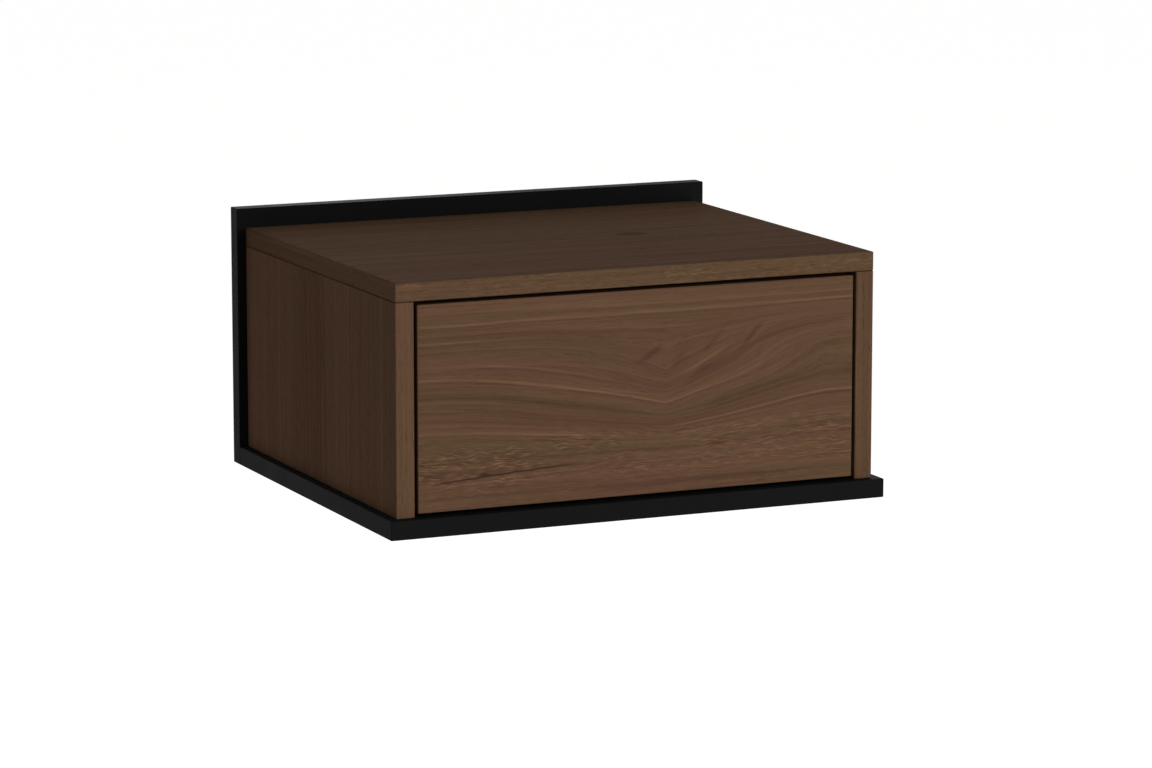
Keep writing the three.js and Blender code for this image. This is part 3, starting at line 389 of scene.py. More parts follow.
def walnut(name, grain, box, seed, seam_edges, tone_share, red_share, **extras):
    """Walnut decor. grain names the axes along the grain, across it on the face, and through the board.
    The extras are a figure that bends the grain, marks on it, lines on it and painted shade added with them,
    where it ripples, how far it wanders, which of its layers are calmer, where painted shade darkens its
    joints with a neighbour, and how much painted shade darkens its edge faces. Each one that is a function
    reads the finish, whose lines are the place as the grain runs."""
    finish = Finish(name, specular=WALNUT_GLOSS)
    along, across, through = (finish.parts[axis] for axis in grain)
    normal = finish.split(finish.made("TexCoord", (), "Normal"))
    on_end = abs(normal[grain[0]]) > END_FACE_TILT
    placed = finish.pick(on_end, finish.join(along, across, through), finish.join(across, through, along))
    along, across, through = finish.split(placed).values()
    wander = finish.noise(placed, WANDER_WAVES, move=(seed, 0, 0))
    curl = finish.noise(placed, CURL_WAVES, move=(0, seed, 0))
    across = across + swing(wander, extras.get("wander", WANDER)) + swing(curl, CURL)
    if "figure" in extras:
        across = across - extras["figure"](finish)
    lines = finish.lines = finish.join(along, across, through)
    calm = extras.get("calm", {})
    level = tone_share
    for layer, kind in WALNUT_LAYERS.items():
        level = level + swing(streaks(finish, lines, kind, seed), kind["share"] * calm.get(layer, 1))
    swell = swing(streaks(finish, lines, RING_SWELL, seed), RING_SWING)
    ring = finish.math("FRACT", (across + through) * RING_RATE + swell)
    level = level + ring**LATE_WOOD_SHARPNESS * LATE_WOOD_SHARE
    level = level + (1 - ring) ** EARLY_WOOD_SHARPNESS * EARLY_WOOD_SHARE
    pore = finish.ramp(streaks(finish, lines, PORES, seed), *PORE_RANGE)
    level = level + pore * (PORE_SHARE * calm.get("pores", 1))
    if "ripples" in extras:
        level = level + ripples(finish, seed) * extras["ripples"](finish)
    for added_lines in extras.get("lines", ()):
        level = level + added_lines(finish)
    # Painted shade: a dark line where the board meets a neighbour, standing in for the shade in the gap
    level = level + painted_joint_shade(finish, box, extras.get("shaded_joint_edges", ())) * JOINT_SHADE_SHARE
    # Painted shade on the edge faces, darker where they lie in the gap around the board
    level = level + (abs(normal[grain[2]]) < END_FACE_TILT) * extras.get("edge_gap_shade", 0)
    hue = streaks(finish, lines, HUE_STREAKS, 2 * seed)
    hue = finish.ramp(hue, red_share - HUE_SPREAD, red_share + HUE_SPREAD)
    tone = finish.scaled(finish.blend(hue, WALNUT_RED, WALNUT_OLIVE), level)
    hollow = level - pore * PORE_HOLLOW
    if "marks" in extras:
        stain = extras["marks"](finish)
        tone = finish.blend(stain, tone, WALNUT_DARK)
        hollow = hollow - stain
    seam = seams(finish, box, seam_edges)
    finish.shade("Base Color", finish.scaled(tone, seam * SEAM_SHARE + 1))
    finish.shade("Roughness", finish.ramp(level, *WALNUT_SHINE))
    finish.bump(hollow - seam, *WALNUT_RELIEF)
    return finish.material


def between(finish, value, start, end, fade):
    """1 between two places and 0 outside them, with a fade inside each."""
    return finish.ramp(value, start, start + fade) * finish.ramp(value, end - fade, end, 1, 0)


def oval(finish, first, second, centre, reach):
    """1 in the middle of an oval and 0 outside it."""
    across = (finish.parts[first] - centre[0]) / reach[0]
    up = (finish.parts[second] - centre[1]) / reach[1]
    return finish.ramp(finish.math("SQRT", across * across + up * up), OVAL_CORE, 1, 1, 0)


# The drawer front's figure: the grain lines dip into a valley right of the middle and climb away from it.
# Its depth grows from nothing at the foot to the core, and goes back to nothing under the top lines.
VALLEY = SimpleNamespace(
    x=0.024, depth=0.033, left_reach=0.220, right_reach=0.150, left_bend=1.6, right_bend=1.3,
    rounding=0.0015, foot_z=-0.128, core_z=-0.076, shoulder_z=-0.062, top_z=0.000,
)

# Right of the valley the upper lines spread out and climb further
FAN = SimpleNamespace(lift=0.018, start_x=0.055, end_x=0.180, low_z=-0.066, peak_z=-0.026, high_z=0.010)

# The growth lines that stand out: their height where the grain is level, how much lighter or darker they are,
# how wide in millimetres, and from where to where along the front. PAST_END lies beyond both ends of it.
PAST_END = 0.24
GROWTH_LINES = (
    (0.0095, 0.10, 2.2, -0.060, PAST_END),
    (0.0020, 0.34, 2.2, -PAST_END, PAST_END),
    (-0.0045, -0.12, 1.2, -0.200, -0.110),
    (-0.0085, 0.14, 1.2, -0.070, 0.050),
    (-0.0125, 0.20, 1.4, -PAST_END, -0.125),
    (-0.0317, -0.19, 5.0, 0.030, 0.200),
    (-0.0320, 0.20, 1.3, -0.200, -0.015),
    (-0.0425, 0.42, 1.7, -PAST_END, 0.135),
    (-0.0570, -0.06, 9.0, -PAST_END, 0.010),
    (-0.0600, -0.15, 8.0, 0.040, PAST_END),
    (-0.0670, 0.20, 1.8, -PAST_END, -0.140),
    (-0.0740, 0.44, 1.8, 0.010, PAST_END),
    (-0.0860, 0.34, 1.8, -PAST_END, -0.030),
    (-0.0870, -0.10, 4.0, 0.070, PAST_END),
    (-0.1285, 0.10, 4.0, -0.050, PAST_END),
    (-0.1315, 0.10, 3.0, -0.200, -0.040),
    (-0.1420, -0.14, 6.0, -0.060, PAST_END),
)
GROWTH_LINE_FADE = 0.035
GROWTH_LINE_BREAKS = (8, 60, 60)
GROWTH_LINE_TONES = (0.36, 0.54, 0.45, 1)
TROUGH_DROP = 2.2 * MM
TROUGH_SHARE = -0.45

# Short streaks that rise more steeply: from where, to where, how wide in millimetres, how light or dark
STEEP_STREAKS = (
    ((0.033, -0.0560), (0.084, -0.0285), 1.9, 0.36),
    ((0.036, -0.0605), (0.088, -0.0335), 2.2, -0.11),
    ((0.093, -0.0335), (0.1150, -0.0100), 2.7, -0.24),
    ((0.097, -0.0355), (0.1185, -0.0125), 1.5, 0.14),
    ((-0.004, -0.0415), (0.0235, -0.0255), 4.2, -0.24),
    ((0.000, -0.0130), (0.0300, -0.0150), 2.6, -0.14),
    ((0.028, -0.0480), (0.0430, -0.0300), 4.6, -0.13),
    ((0.056, -0.0370), (0.0790, -0.0150), 3.3, -0.14),
)


def fan(finish):
    lift = finish.ramp(finish.parts["x"], FAN.start_x, FAN.end_x, 0, FAN.lift)
    risen = finish.ramp(finish.parts["z"], FAN.low_z, FAN.peak_z)
    return lift * (risen * finish.ramp(finish.parts["z"], FAN.peak_z, FAN.high_z, 1, 0))


def valley_and_fan(finish):
    beside = finish.parts["x"] - VALLEY.x
    left = beside < 0
    reach = left * (VALLEY.left_reach - VALLEY.right_reach) + VALLEY.right_reach
    bend = left * (VALLEY.left_bend - VALLEY.right_bend) + VALLEY.right_bend
    away = finish.math("SQRT", beside * beside + VALLEY.rounding**2) / reach
    fall = finish.math("MAXIMUM", 1 - away, 0) ** bend
    rise = finish.ramp(finish.parts["z"], VALLEY.foot_z, VALLEY.core_z)
    close = finish.ramp(finish.parts["z"], VALLEY.shoulder_z, VALLEY.top_z, -VALLEY.depth, 0)
    return fall * (rise * close) + fan(finish)


def growth_lines(finish):
    """The growth lines that stand out, broken along their length. A light one lies over a darker trough."""
    across = finish.split(finish.lines)["y"]
    shown = finish.ramp(finish.noise(finish.lines, GROWTH_LINE_BREAKS), *GROWTH_LINE_TONES)
    found = 0.0
    for place, share, width, start, end in GROWTH_LINES:
        line = finish.ridge(across, place, width * MM, share)
        if share > 0:
            line = line + finish.ridge(across, place - TROUGH_DROP, width * MM, share * TROUGH_SHARE)
        found = line * between(finish, finish.parts["x"], start, end, GROWTH_LINE_FADE) + found
    return found * shown


def steep_streaks(finish):
    found = 0.0
    for start, end, width, share in STEEP_STREAKS:
        run = Vector(end) - Vector(start)
        way = run.normalized()
        x, z = finish.parts["x"] - start[0], finish.parts["z"] - start[1]
        along, off = x * way.x + z * way.y, z * way.x - x * way.y
        shown = between(finish, along, 0, run.length, run.length / 3)
        found = finish.ridge(off, 0, width * MM, share) * shown + found
    return found


# A shake along the foot of the drawer front, with a small knot on it
SHAKE = SimpleNamespace(
    z=-0.1206, end_x=-0.030, bow=0.346, width=1.5 * MM, start=(-0.192, -0.170), fade_x=-0.085, waves=70,
    swing=2.4 * MM,
)
KNOT = (-0.139, -0.1235)
KNOT_REACH = (0.010, 0.0032)
OVAL_CORE = 0.2

# Where the drawer front ripples: from one height or place to another, and the shares there
RIPPLES_FROM_TOP = (-0.088, -0.101, 0.10, 1)
RIPPLES_FROM_FOOT = (-0.138, -0.127, 0.30, 1)
RIPPLES_FROM_LEFT = (-0.060, 0.020, 1.1, 0.85)


def shake_and_knot(finish):
    x = finish.parts["x"]
    beside = x - SHAKE.end_x
    ragged = swing(finish.noise(finish.place, SHAKE.waves, detail=3), SHAKE.swing)
    line = SHAKE.z - beside * beside * SHAKE.bow + ragged
    shown = finish.ramp(x, *SHAKE.start) * finish.ramp(x, SHAKE.fade_x, SHAKE.end_x, 1, 0)
    shake = finish.ridge(finish.parts["z"], line, SHAKE.width) * shown
    return finish.math("MAXIMUM", shake, oval(finish, "x", "z", KNOT, KNOT_REACH))


def ripples_below(finish):
    """The drawer front's grain is short and rippled in its lower third, most of all to the left."""
    x, z = finish.parts["x"], finish.parts["z"]
    height = finish.ramp(z, *RIPPLES_FROM_TOP) * finish.ramp(z, *RIPPLES_FROM_FOOT)
    return height * finish.ramp(x, *RIPPLES_FROM_LEFT)


# The top's knot, painted shade towards its back where the back panel stands, and the ripples of the band on
# its front edge
TOP_KNOT = (0.074, -0.187)
TOP_KNOT_REACH = (0.021, 0.014)
TOP_KNOT_STRENGTH = 0.75
PAINTED_BACK_SHADE_RAMP = (-0.170, -0.022, 0, -0.14)
FRONT_BAND_SHARE = 0.4

# The sides' light streaks, by their place from the front to the back, and the darker wood behind the middle
SIDE_STREAKS = (-0.337, -0.262, -0.203, -0.1995, -0.094, -0.061)
SIDE_STREAK_WIDTH = 1.6 * MM
SIDE_STREAK_SHARE = 0.32
SIDE_STREAK_BREAKS = (7, 90, 90)
SIDE_STREAK_RANGE = (0.36, 0.52)
SIDE_SHADE = (-0.213, -0.205, 0, -0.15)
SIDE_SHADE_FADE = (-0.205, -0.061, 1, 0)


def top_knot(finish):
    return oval(finish, "x", "y", TOP_KNOT, TOP_KNOT_REACH) * TOP_KNOT_STRENGTH


# Painted shade: the top is darker towards its back, where the back panel stands over it
def painted_back_shade(finish):
    return finish.ramp(finish.parts["y"], *PAINTED_BACK_SHADE_RAMP)


def ripples_on_band(finish):
    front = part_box("top_panel")[0].y
    return finish.ramp(finish.parts["y"], front + EDGE, front + BAND_SEAM, FRONT_BAND_SHARE, 0)


def side_streaks(finish):
    """A few light streaks that come and go, and wood a little darker behind the middle of the board."""
    across = finish.split(finish.lines)["y"]
    found = 0.0
    for place in SIDE_STREAKS:
        streak = finish.ridge(across, place, SIDE_STREAK_WIDTH, SIDE_STREAK_SHARE)
        found = finish.math("MAXIMUM", streak, found)
    shown = finish.ramp(finish.noise(finish.lines, SIDE_STREAK_BREAKS), *SIDE_STREAK_RANGE)
    shade = finish.ramp(across, *SIDE_SHADE) * finish.ramp(across, *SIDE_SHADE_FADE)
    return shade + found * shown


# Linen: threads to a metre across and along, the range of the weave with its tones, and the relief
THREADS = (1000, 32)
THREAD_DETAIL = 1.5
LINEN_TONES = (1.1, 1.9, 0.72, 1.3)
LINEN_ROUGHNESS = 0.6
LINEN_RELIEF = (0.05 * MM, 0.5)

# The other finishes. Two noises mottle each, a broad and a fine one, given as waves to a metre, detail and
# roughness. The tones are the darkest one and the shares by which the two lighten it. Relief is how deep the
# fine noise is, and how strong. Wear is the shares of the two in the roughness, which it takes to the shine's
# shares of it.
WEAR_RANGE = (0.35, 0.65)
LAMINATE_SEAM_SHARE = -0.5
LAMINATE = dict(
    gloss=0.008, metal=0.0, broad=(9, 4, 0.6), fine=(1500, 2, 0.5), tones=(0.5, 0.5, 0.5),
    relief=(0.02 * MM, 0.5), wear=(1, 0), shine=(0.905, 1.095),
)
PAINT = dict(
    gloss=0.25, metal=0.0, broad=(14, 3, 0.5), fine=(420, 4, 0.65), tones=(0.65, 0.3, 0.4),
    relief=(0.08 * MM, 0.4),
)
MOULDING = dict(
    gloss=0.4, metal=0.0, broad=(60, 2, 0.5), fine=(1600, 2, 0.5), tones=(0.88, 0.12, 0.12),
    relief=(0.03 * MM, 0.5),
)
METAL = dict(
    gloss=0.5, metal=1.0, broad=(40, 3, 0.5), tones=(0.65, 0.34, 0.36), relief=(0.01 * MM, 0.4),
    wear=(0.4, 0.6), shine=(0.75, 1.35),
)
METAL_MARKS = (3, 0.6)


def linen(name, colour):
    """Laminate printed and pressed like a plain linen weave, as drawer boxes have."""
    finish = Finish(name, specular=PAINT["gloss"])
    weave = 0.0
    for run in range(3):
        scale = tuple(THREADS[axis == run] for axis in range(3))
        weave = finish.noise(finish.place, scale, THREAD_DETAIL) + weave
    finish.shade("Base Color", finish.scaled(linear(colour), finish.ramp(weave, *LINEN_TONES)))
    finish.shade("Roughness", LINEN_ROUGHNESS)
    finish.bump(weave, *LINEN_RELIEF)
    return finish.material


def mottled(name, colour, look, roughness, box=None, seam_edges=()):
    """Laminate with its edge seams, paint, moulded plastic, or metal with fine marks along the way it was
    rolled, drawn or turned."""
    finish = Finish(name, look["gloss"], look["metal"])
    broad, fine = (finish.noise(finish.place, *look[noise]) for noise in ("broad", "fine"))
    seam = seams(finish, box, seam_edges)
    darkest, broad_share, fine_share = look["tones"]
    level = (fine * fine_share + broad * broad_share + darkest) * (seam * LAMINATE_SEAM_SHARE + 1)
    finish.shade("Base Color", finish.scaled(linear(colour), level))
    finish.shade("Roughness", roughness)
    if "wear" in look:
        worn = fine * look["wear"][1] + broad * look["wear"][0]
        shine = (roughness * share for share in look["shine"])
        finish.shade("Roughness", finish.ramp(worn, *WEAR_RANGE, *shine))
    finish.bump(fine - seam, *look["relief"])
    return finish.material


def steel(name, colour, roughness, marks):
    return mottled(name, colour, dict(METAL, fine=(marks, *METAL_MARKS)), roughness)


# Which finish each piece gets. A board's edges are named by their axis and by - or + for the low or high end.

# The sides get painted shade along their joint with the top
SIDE_BOARD = dict(grain="zyx", seam_edges=["y-"], shaded_joint_edges=["z+"], lines=[side_streaks])
walnut_boards = {
    "top_panel": dict(
        grain="xyz", seed=3.1, tone_share=0.935, red_share=0.5, seam_edges=["y-", "x-", "x+"],
        # Painted shade along the joint below it and towards its back
        shaded_joint_edges=["z-"], marks=top_knot, lines=[painted_back_shade], ripples=ripples_on_band,
    ),
    "side_panel_left": dict(
        SIDE_BOARD, seed=11.7, tone_share=1.06, red_share=0.58,
        calm=dict(growth=0.45, strands=0.45, fibres=0.6),
    ),
    "side_panel_right": dict(
        SIDE_BOARD, seed=23.9, tone_share=0.93, red_share=0.44,
        calm=dict(growth=0.6, strands=0.6, fibres=0.7),
    ),
    "drawer_front": dict(
        grain="xzy", seed=7.3, tone_share=0.96, red_share=0.5, seam_edges=["x-", "x+", "z-", "z+"],
        figure=valley_and_fan, marks=shake_and_knot, ripples=ripples_below,
        lines=[growth_lines, steep_streaks], calm=dict(pores=0.45, strands=0.75, bands=1.7),
        # Painted shade on the edge faces that lie in the gap around the front
        edge_gap_shade=-0.4, wander=0.005,
    ),
}
laminate_edges = {"back_panel": ["x-", "x+", "z+"], "base_panel": ["x-", "x+", "y-"]}
slot_finishes = {
    "drawer_board": linen("drawer_linen", DRAWER_LAMINATE),
    "hardboard": mottled("drawer_bottom_paint", HARDBOARD_PAINT, PAINT, 0.7),
    "zinc_steel": steel("zinc_sheet", ZINC_SHEET, 0.3, (700, 22, 700)),
    "zinc_hardware": steel("zinc_hardware", ZINC_FASTENER, 0.32, 500),
    "bearing_steel": steel("ball_steel", BALL_STEEL, 0.16, 900),
    "spring_steel": steel("spring_wire", SPRING_WIRE, 0.3, 900),
    "black_plastic": mottled("black_moulding", BLACK_MOULDING, MOULDING, 0.5),
    "grey_plastic": mottled("grey_moulding", GREY_MOULDING, MOULDING, 0.45),
}
slots = {part["node"]: part["material_slot"] for part in frame["record"]["subparts"]}
bodies = {node: body for body, nodes in frame["record"]["behaviour"]["bodies"].items() for node in nodes}
finishes = {node: slot_finishes.get(slot) for node, slot in slots.items()}
for node, recipe in walnut_boards.items():
    finishes[node] = walnut(f"walnut_{node}", box=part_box(node), **recipe)
for node, edges in laminate_edges.items():
    finishes[node] = mottled(f"laminate_{node}", BLACK_LAMINATE, LAMINATE, 0.42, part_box(node), edges)
for node, finish in finishes.items():
    mesh = frame["nodes"][node].data
    mesh.materials.clear()
    mesh.materials.append(finish)

# Modelling by hand: what to select, and how a piece is started, cut, copied and finished


def only(*things):
    bpy.ops.object.select_all(action="DESELECT")
    for thing in things:
        thing.select_set(True)
    bpy.context.view_layer.objects.active = things[-1]


def added(primitive, name, **options):
    """A new primitive at its size and place, with nothing else selected."""
    bpy.ops.object.select_all(action="DESELECT")
    primitive(**options)
    piece = bpy.context.object
    piece.name = name
    bpy.ops.object.transform_apply(location=True, rotation=True, scale=True)
    return piece


def editing(piece):
    """Opens a piece in edit mode with everything selected."""
    only(piece)
    bpy.ops.object.mode_set(mode="EDIT")
    bpy.ops.mesh.select_mode(type="VERT")
    bpy.ops.mesh.select_all(action="SELECT")


def finished_editing():
    bpy.ops.mesh.select_all(action="SELECT")
    bpy.ops.mesh.normals_make_consistent(inside=False)
    bpy.ops.object.mode_set(mode="OBJECT")


def choose(kind, test):
    """In edit mode, selects the corners, edges or faces that pass the test, and nothing else."""
    bpy.ops.mesh.select_mode(type=kind)
    bpy.ops.mesh.select_all(action="DESELECT")
    mesh = bmesh.from_edit_mesh(bpy.context.object.data)
    for item in {"VERT": mesh.verts, "EDGE": mesh.edges, "FACE": mesh.faces}[kind]:
        item.select = test(item)
    mesh.select_flush_mode()
    bmesh.update_edit_mesh(bpy.context.object.data)


def runs_along(edge, axis):
    """Whether an edge runs along an axis, given by its number."""
    first, second = (corner.co for corner in edge.verts)
    across = [abs(first[i] - second[i]) for i in range(3) if i != axis]
    return max(across) < TINY < abs(first[axis] - second[axis])


def softened(piece, width, segments, test):
    editing(piece)
    choose("EDGE", test)
    bpy.ops.mesh.bevel(offset=width, segments=segments, affect="EDGES")
    finished_editing()
    return piece


def rounded(piece, radius, axis=1, where=lambda place: True, steps=CORNER_STEPS):
    """Rounds the edges that run along an axis, those that start where the test says."""
    return softened(piece, radius, steps, lambda edge: runs_along(edge, axis) and where(edge.verts[0].co))


def narrowed(piece, test, shares, centre):
    """Draws the faces that pass the test together, towards a centre."""
    editing(piece)
    choose("FACE", test)
    bpy.ops.transform.resize(value=shares, center_override=centre)
    finished_editing()
    return piece


def slab(name, low, high):
    """A block between two corners, ready to be shaped."""
    low, high = Vector(low), Vector(high)
    middle, size = (low + high) / 2, high - low
    return added(bpy.ops.mesh.primitive_cube_add, name, size=1, location=middle, scale=size)


def turned(name, profile, sides=TURNED_SIDES):
    """A round piece about the Y axis: a disc that is pulled along pairs of radius and place, and closed."""
    (radius, place), *others = profile
    disc = dict(vertices=sides, radius=radius, fill_type="NGON", rotation=(math.pi / 2, 0, 0))
    piece = added(bpy.ops.mesh.primitive_circle_add, name, location=(0, place, 0), **disc)
    editing(piece)
    for next_radius, next_place in others:
        bpy.ops.mesh.extrude_region_move(TRANSFORM_OT_translate={"value": (0, next_place - place, 0)})
        swell = next_radius / radius
        bpy.ops.transform.resize(value=(swell, 1, swell), center_override=(0, next_place, 0))
        radius, place = next_radius, next_place
    finished_editing()
    return piece


def rod(name, radius, start, end, sides=TURNED_SIDES):
    return turned(name, [(radius, start), (radius, end)], sides)


def drawn(name, outline, low, high):
    """A prism along Y between two places, from an outline of X and Z that is drawn corner by corner."""
    x, z = outline[0]
    piece = added(bpy.ops.mesh.primitive_plane_add, name, size=STEEL, location=(x, low, z))
    editing(piece)
    bpy.ops.mesh.merge(type="CENTER")
    for (x, z), (next_x, next_z) in zip(outline, outline[1:]):
        bpy.ops.mesh.extrude_region_move(TRANSFORM_OT_translate={"value": (next_x - x, 0, next_z - z)})
    ends = [Vector((x, low, z)) for x, z in (outline[0], outline[-1])]
    choose("VERT", lambda corner: min((corner.co - end).length for end in ends) < TINY)
    bpy.ops.mesh.edge_face_add()
    bpy.ops.mesh.select_all(action="SELECT")
    bpy.ops.mesh.edge_face_add()
    bpy.ops.mesh.extrude_region_move(TRANSFORM_OT_translate={"value": (0, high - low, 0)})
    finished_editing()
    return piece


def combined(piece, tools, operation="DIFFERENCE"):
    """Cuts tools out of a piece, or joins them to it, and puts the tools away. The faces are split into
    triangles before each cut, because a face with many corners around earlier cuts can close the next one."""
    for tool in tools:
        editing(piece)
        bpy.ops.mesh.quads_convert_to_tris(quad_method="BEAUTY", ngon_method="BEAUTY")
        finished_editing()
        modifier = piece.modifiers.new("tool", "BOOLEAN")
        modifier.object = tool
        modifier.operation = operation
        modifier.solver = "EXACT"
        only(piece)
        bpy.ops.object.modifier_apply(modifier=modifier.name)
        bpy.data.objects.remove(tool)
    editing(piece)
    bpy.ops.mesh.remove_doubles(threshold=WELD)
    bpy.ops.mesh.dissolve_degenerate(threshold=WELD)
    finished_editing()
    return piece


def moved(piece, matrix):
    """Puts a turn or a shift into a piece's mesh."""
    piece.data.transform(matrix)
    if matrix.determinant() < 0:
        piece.data.flip_normals()
    return piece


def copied(piece, name, matrix):
    copy = piece.copy()
    copy.data = piece.data.copy()
    copy.name = name
    bpy.context.scene.collection.objects.link(copy)
    return moved(copy, matrix)


def put_in(piece, node, other_body=None):
    """Finishes a piece in the place of a CAD node: its shading, finish and body are the node's.
    With another body given, its place is put into its mesh instead and it joins no body."""
    piece.name = f"{node}_made"
    piece.data.name = piece.name
    only(piece)
    bpy.ops.object.shade_smooth_by_angle(angle=SMOOTH_BELOW)
    flats = piece.modifiers.new("flats", "WEIGHTED_NORMAL")
    flats.keep_sharp = True
    bpy.ops.object.modifier_apply(modifier=flats.name)
    piece.data.materials.clear()
    piece.data.materials.append(finishes[node])
    if other_body:
        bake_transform(piece)
    else:
        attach(piece, bodies[node])
    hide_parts(node)
    return piece


def put_away(*models):
    for model in models:
        bpy.data.objects.remove(model)


def aimed(direction, place):
    """The matrix that points a piece made along -Y in a direction, from a place."""
    turn = Vector((0, -1, 0)).rotation_difference(Vector(direction)).to_matrix().to_4x4()
    return Matrix.Translation(place) @ turn


def head_place(node, direction):
    """The middle of a fastener's driven face, on the side of its box that it points away from."""
    low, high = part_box(node)
    place = (low + high) / 2
    for axis, part in enumerate(direction):
        if part:
            place[axis] = low[axis] if part > 0 else high[axis]
    return place


def length_of(node, direction):
    low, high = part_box(node)
    return max(abs(part * (high[axis] - low[axis])) for axis, part in enumerate(direction))


def side_of(node):
    return SIDES["left" if "left" in node else "right"]


def fastened(model, node, direction):
    """Puts a copy of a fastener in the place of its node, pointing in a direction."""
    put_in(copied(model, node, aimed(direction, head_place(node, direction))), node)


# Screws and cams. Each is made with its driven face at 0 and its point along -Y, then copied into place.


def threaded(screw, length):
    """The outline of a countersunk screw: its head, a plain neck, ridges one pitch apart, and the point."""
    outline = [
        (screw.head - EDGE, 0),
        (screw.head, -EDGE),
        (screw.head, -screw.rim),
        (screw.core, -screw.cone),
    ]
    place = screw.cone + screw.pitch
    while place < length - screw.pitch:
        narrowing = min(1, (length - place) / screw.point)
        for step, radius in zip(RIDGE_STEPS, (screw.core, screw.thread, screw.thread, screw.core)):
            outline.append((radius * narrowing, -place - step * screw.pitch))
        place += screw.pitch
    outline.append((POINT_RADIUS, -length))
    return outline


def cross_recess(reach, width, depth):
    """Two crossed bars, narrower below, to cut a driver's recess."""
    bars = []
    for long_x, long_z in ((reach, width / 2), (width / 2, reach)):
        bar = slab("recess", (-long_x, -depth, -long_z), (long_x, OVERRUN, long_z))
        taper = (RECESS_TAPER, 1, RECESS_TAPER)
        bars.append(narrowed(bar, lambda face: face.normal.y < -END_FACE_TILT, taper, (0, -depth, 0)))
    return bars


def screw_model(screw, length):
    model = turned("screw", threaded(screw, length))
    drive, depth = screw.drive, screw.depth
    if screw is LONG_SCREW:
        return combined(model, [rod("socket", drive, OVERRUN, -depth, HEXAGON)])
    return combined(model, cross_recess(drive, drive * BAR_SHARE, depth))


def make_screws():
    kinds = {
        "base_screw": (LONG_SCREW, lambda side: (0, 0, 1)),
        "back_screw": (LONG_SCREW, lambda side: (0, -1, 0)),
        "keyhole_screw": (SMALL_SCREW, lambda side: (0, -1, 0)),
        "latch_screw": (SMALL_SCREW, lambda side: (0, 0, -1)),
        "slide_cabinet_screw": (SMALL_SCREW, lambda side: (-side, 0, 0)),
        "slide_drawer_screw": (SMALL_SCREW, lambda side: (side, 0, 0)),
    }
    for kind, (screw, aim) in kinds.items():
        nodes = [node for node in slots if node.startswith(kind)]
        model = screw_model(screw, length_of(nodes[0], aim(side_of(nodes[0]))))
        for node in nodes:
            fastened(model, node, aim(side_of(node)))
        put_away(model)


def cam_lock_model():
    rim = CAM.radius - CAM.rim
    outline = [
        (rim, -CAM.recess), (rim, 0), (CAM.radius - EDGE, 0), (CAM.radius, -EDGE),
        (CAM.radius, EDGE - CAM.depth), (CAM.radius - EDGE, -CAM.depth),
    ]
    body = turned("cam_lock", outline)
    arrow = rod("arrow", CAM.arrow_radius, OVERRUN, -CAM.recess - CAM.arrow_depth, TRIANGLE)
    moved(arrow, Matrix.Translation((0, 0, rim - 2 * CAM.arrow_radius)))
    mid = -CAM.bolt_depth
    head, neck, top = CAM.mouth / 2, CAM.throat / 2, CAM.radius + OVERRUN
    mouth = slab("mouth", (-head, mid - CAM.jaw / 2, 0), (head, mid + CAM.jaw / 2, top))
    throat = slab("throat", (-neck, mid - neck, 0), (neck, mid + neck, top))
    cross = cross_recess(CAM.cross / 2, CAM.cross_width, CAM.recess + CAM.cross_depth)
    return combined(body, [arrow, mouth, throat, *cross])


def cam_bolt_outline():
    thread, pitch = BOLT.thread_radius, BOLT.thread_length / BOLT_RIDGES
    outline = [(thread - EDGE, 0)]
    for ridge in range(BOLT_RIDGES):
        top = (ridge + RIDGE_STEPS[1]) * pitch
        for step, inset in zip(RIDGE_STEPS, (EDGE, 0, 0, BOLT.thread_depth)):
            outline.append((thread - inset, -top - step * pitch))
    outline = [point for point in outline if -point[1] < BOLT.thread_length - EDGE]
    head_top = BOLT.thread_length + CAM.drop - BOLT.head / 2
    neck_top = BOLT.thread_length + CAM.drop - CAM.radius
    return outline + [
        (thread - EDGE, -BOLT.thread_length), (BOLT.shaft_radius, -BOLT.thread_length),
        (BOLT.shaft_radius, -neck_top), (BOLT.neck_radius, -neck_top), (BOLT.neck_radius, -head_top),
        (BOLT.head_radius, -head_top - EDGE), (BOLT.head_radius, EDGE - head_top - BOLT.head),
        (BOLT.neck_radius, -head_top - BOLT.head),
    ]


def make_cams():
    lock = cam_lock_model()
    bolt = turned("cam_bolt", cam_bolt_outline())
    for side, inward in SIDES.items():
        for end in ("front", "rear"):
            fastened(lock, f"cam_lock_{side}_{end}", (-inward, 0, 0))
            fastened(bolt, f"cam_bolt_{side}_{end}", (0, 0, -1))
    put_away(lock, bolt)


# Plates and slides, from sheet steel


def sink_for(node, direction):
    """The hole that a screw's head and neck need, as a tool in its place."""
    head, neck = SMALL_SCREW.head + FIT, SMALL_SCREW.thread + FIT
    rim, cone = SMALL_SCREW.rim + FIT, SMALL_SCREW.cone + FIT
    outline = [(head, OVERRUN), (head, -rim), (neck, -cone), (neck, -SINK_DEPTH)]
    return moved(turned("sink", outline), aimed(direction, head_place(node, direction)))


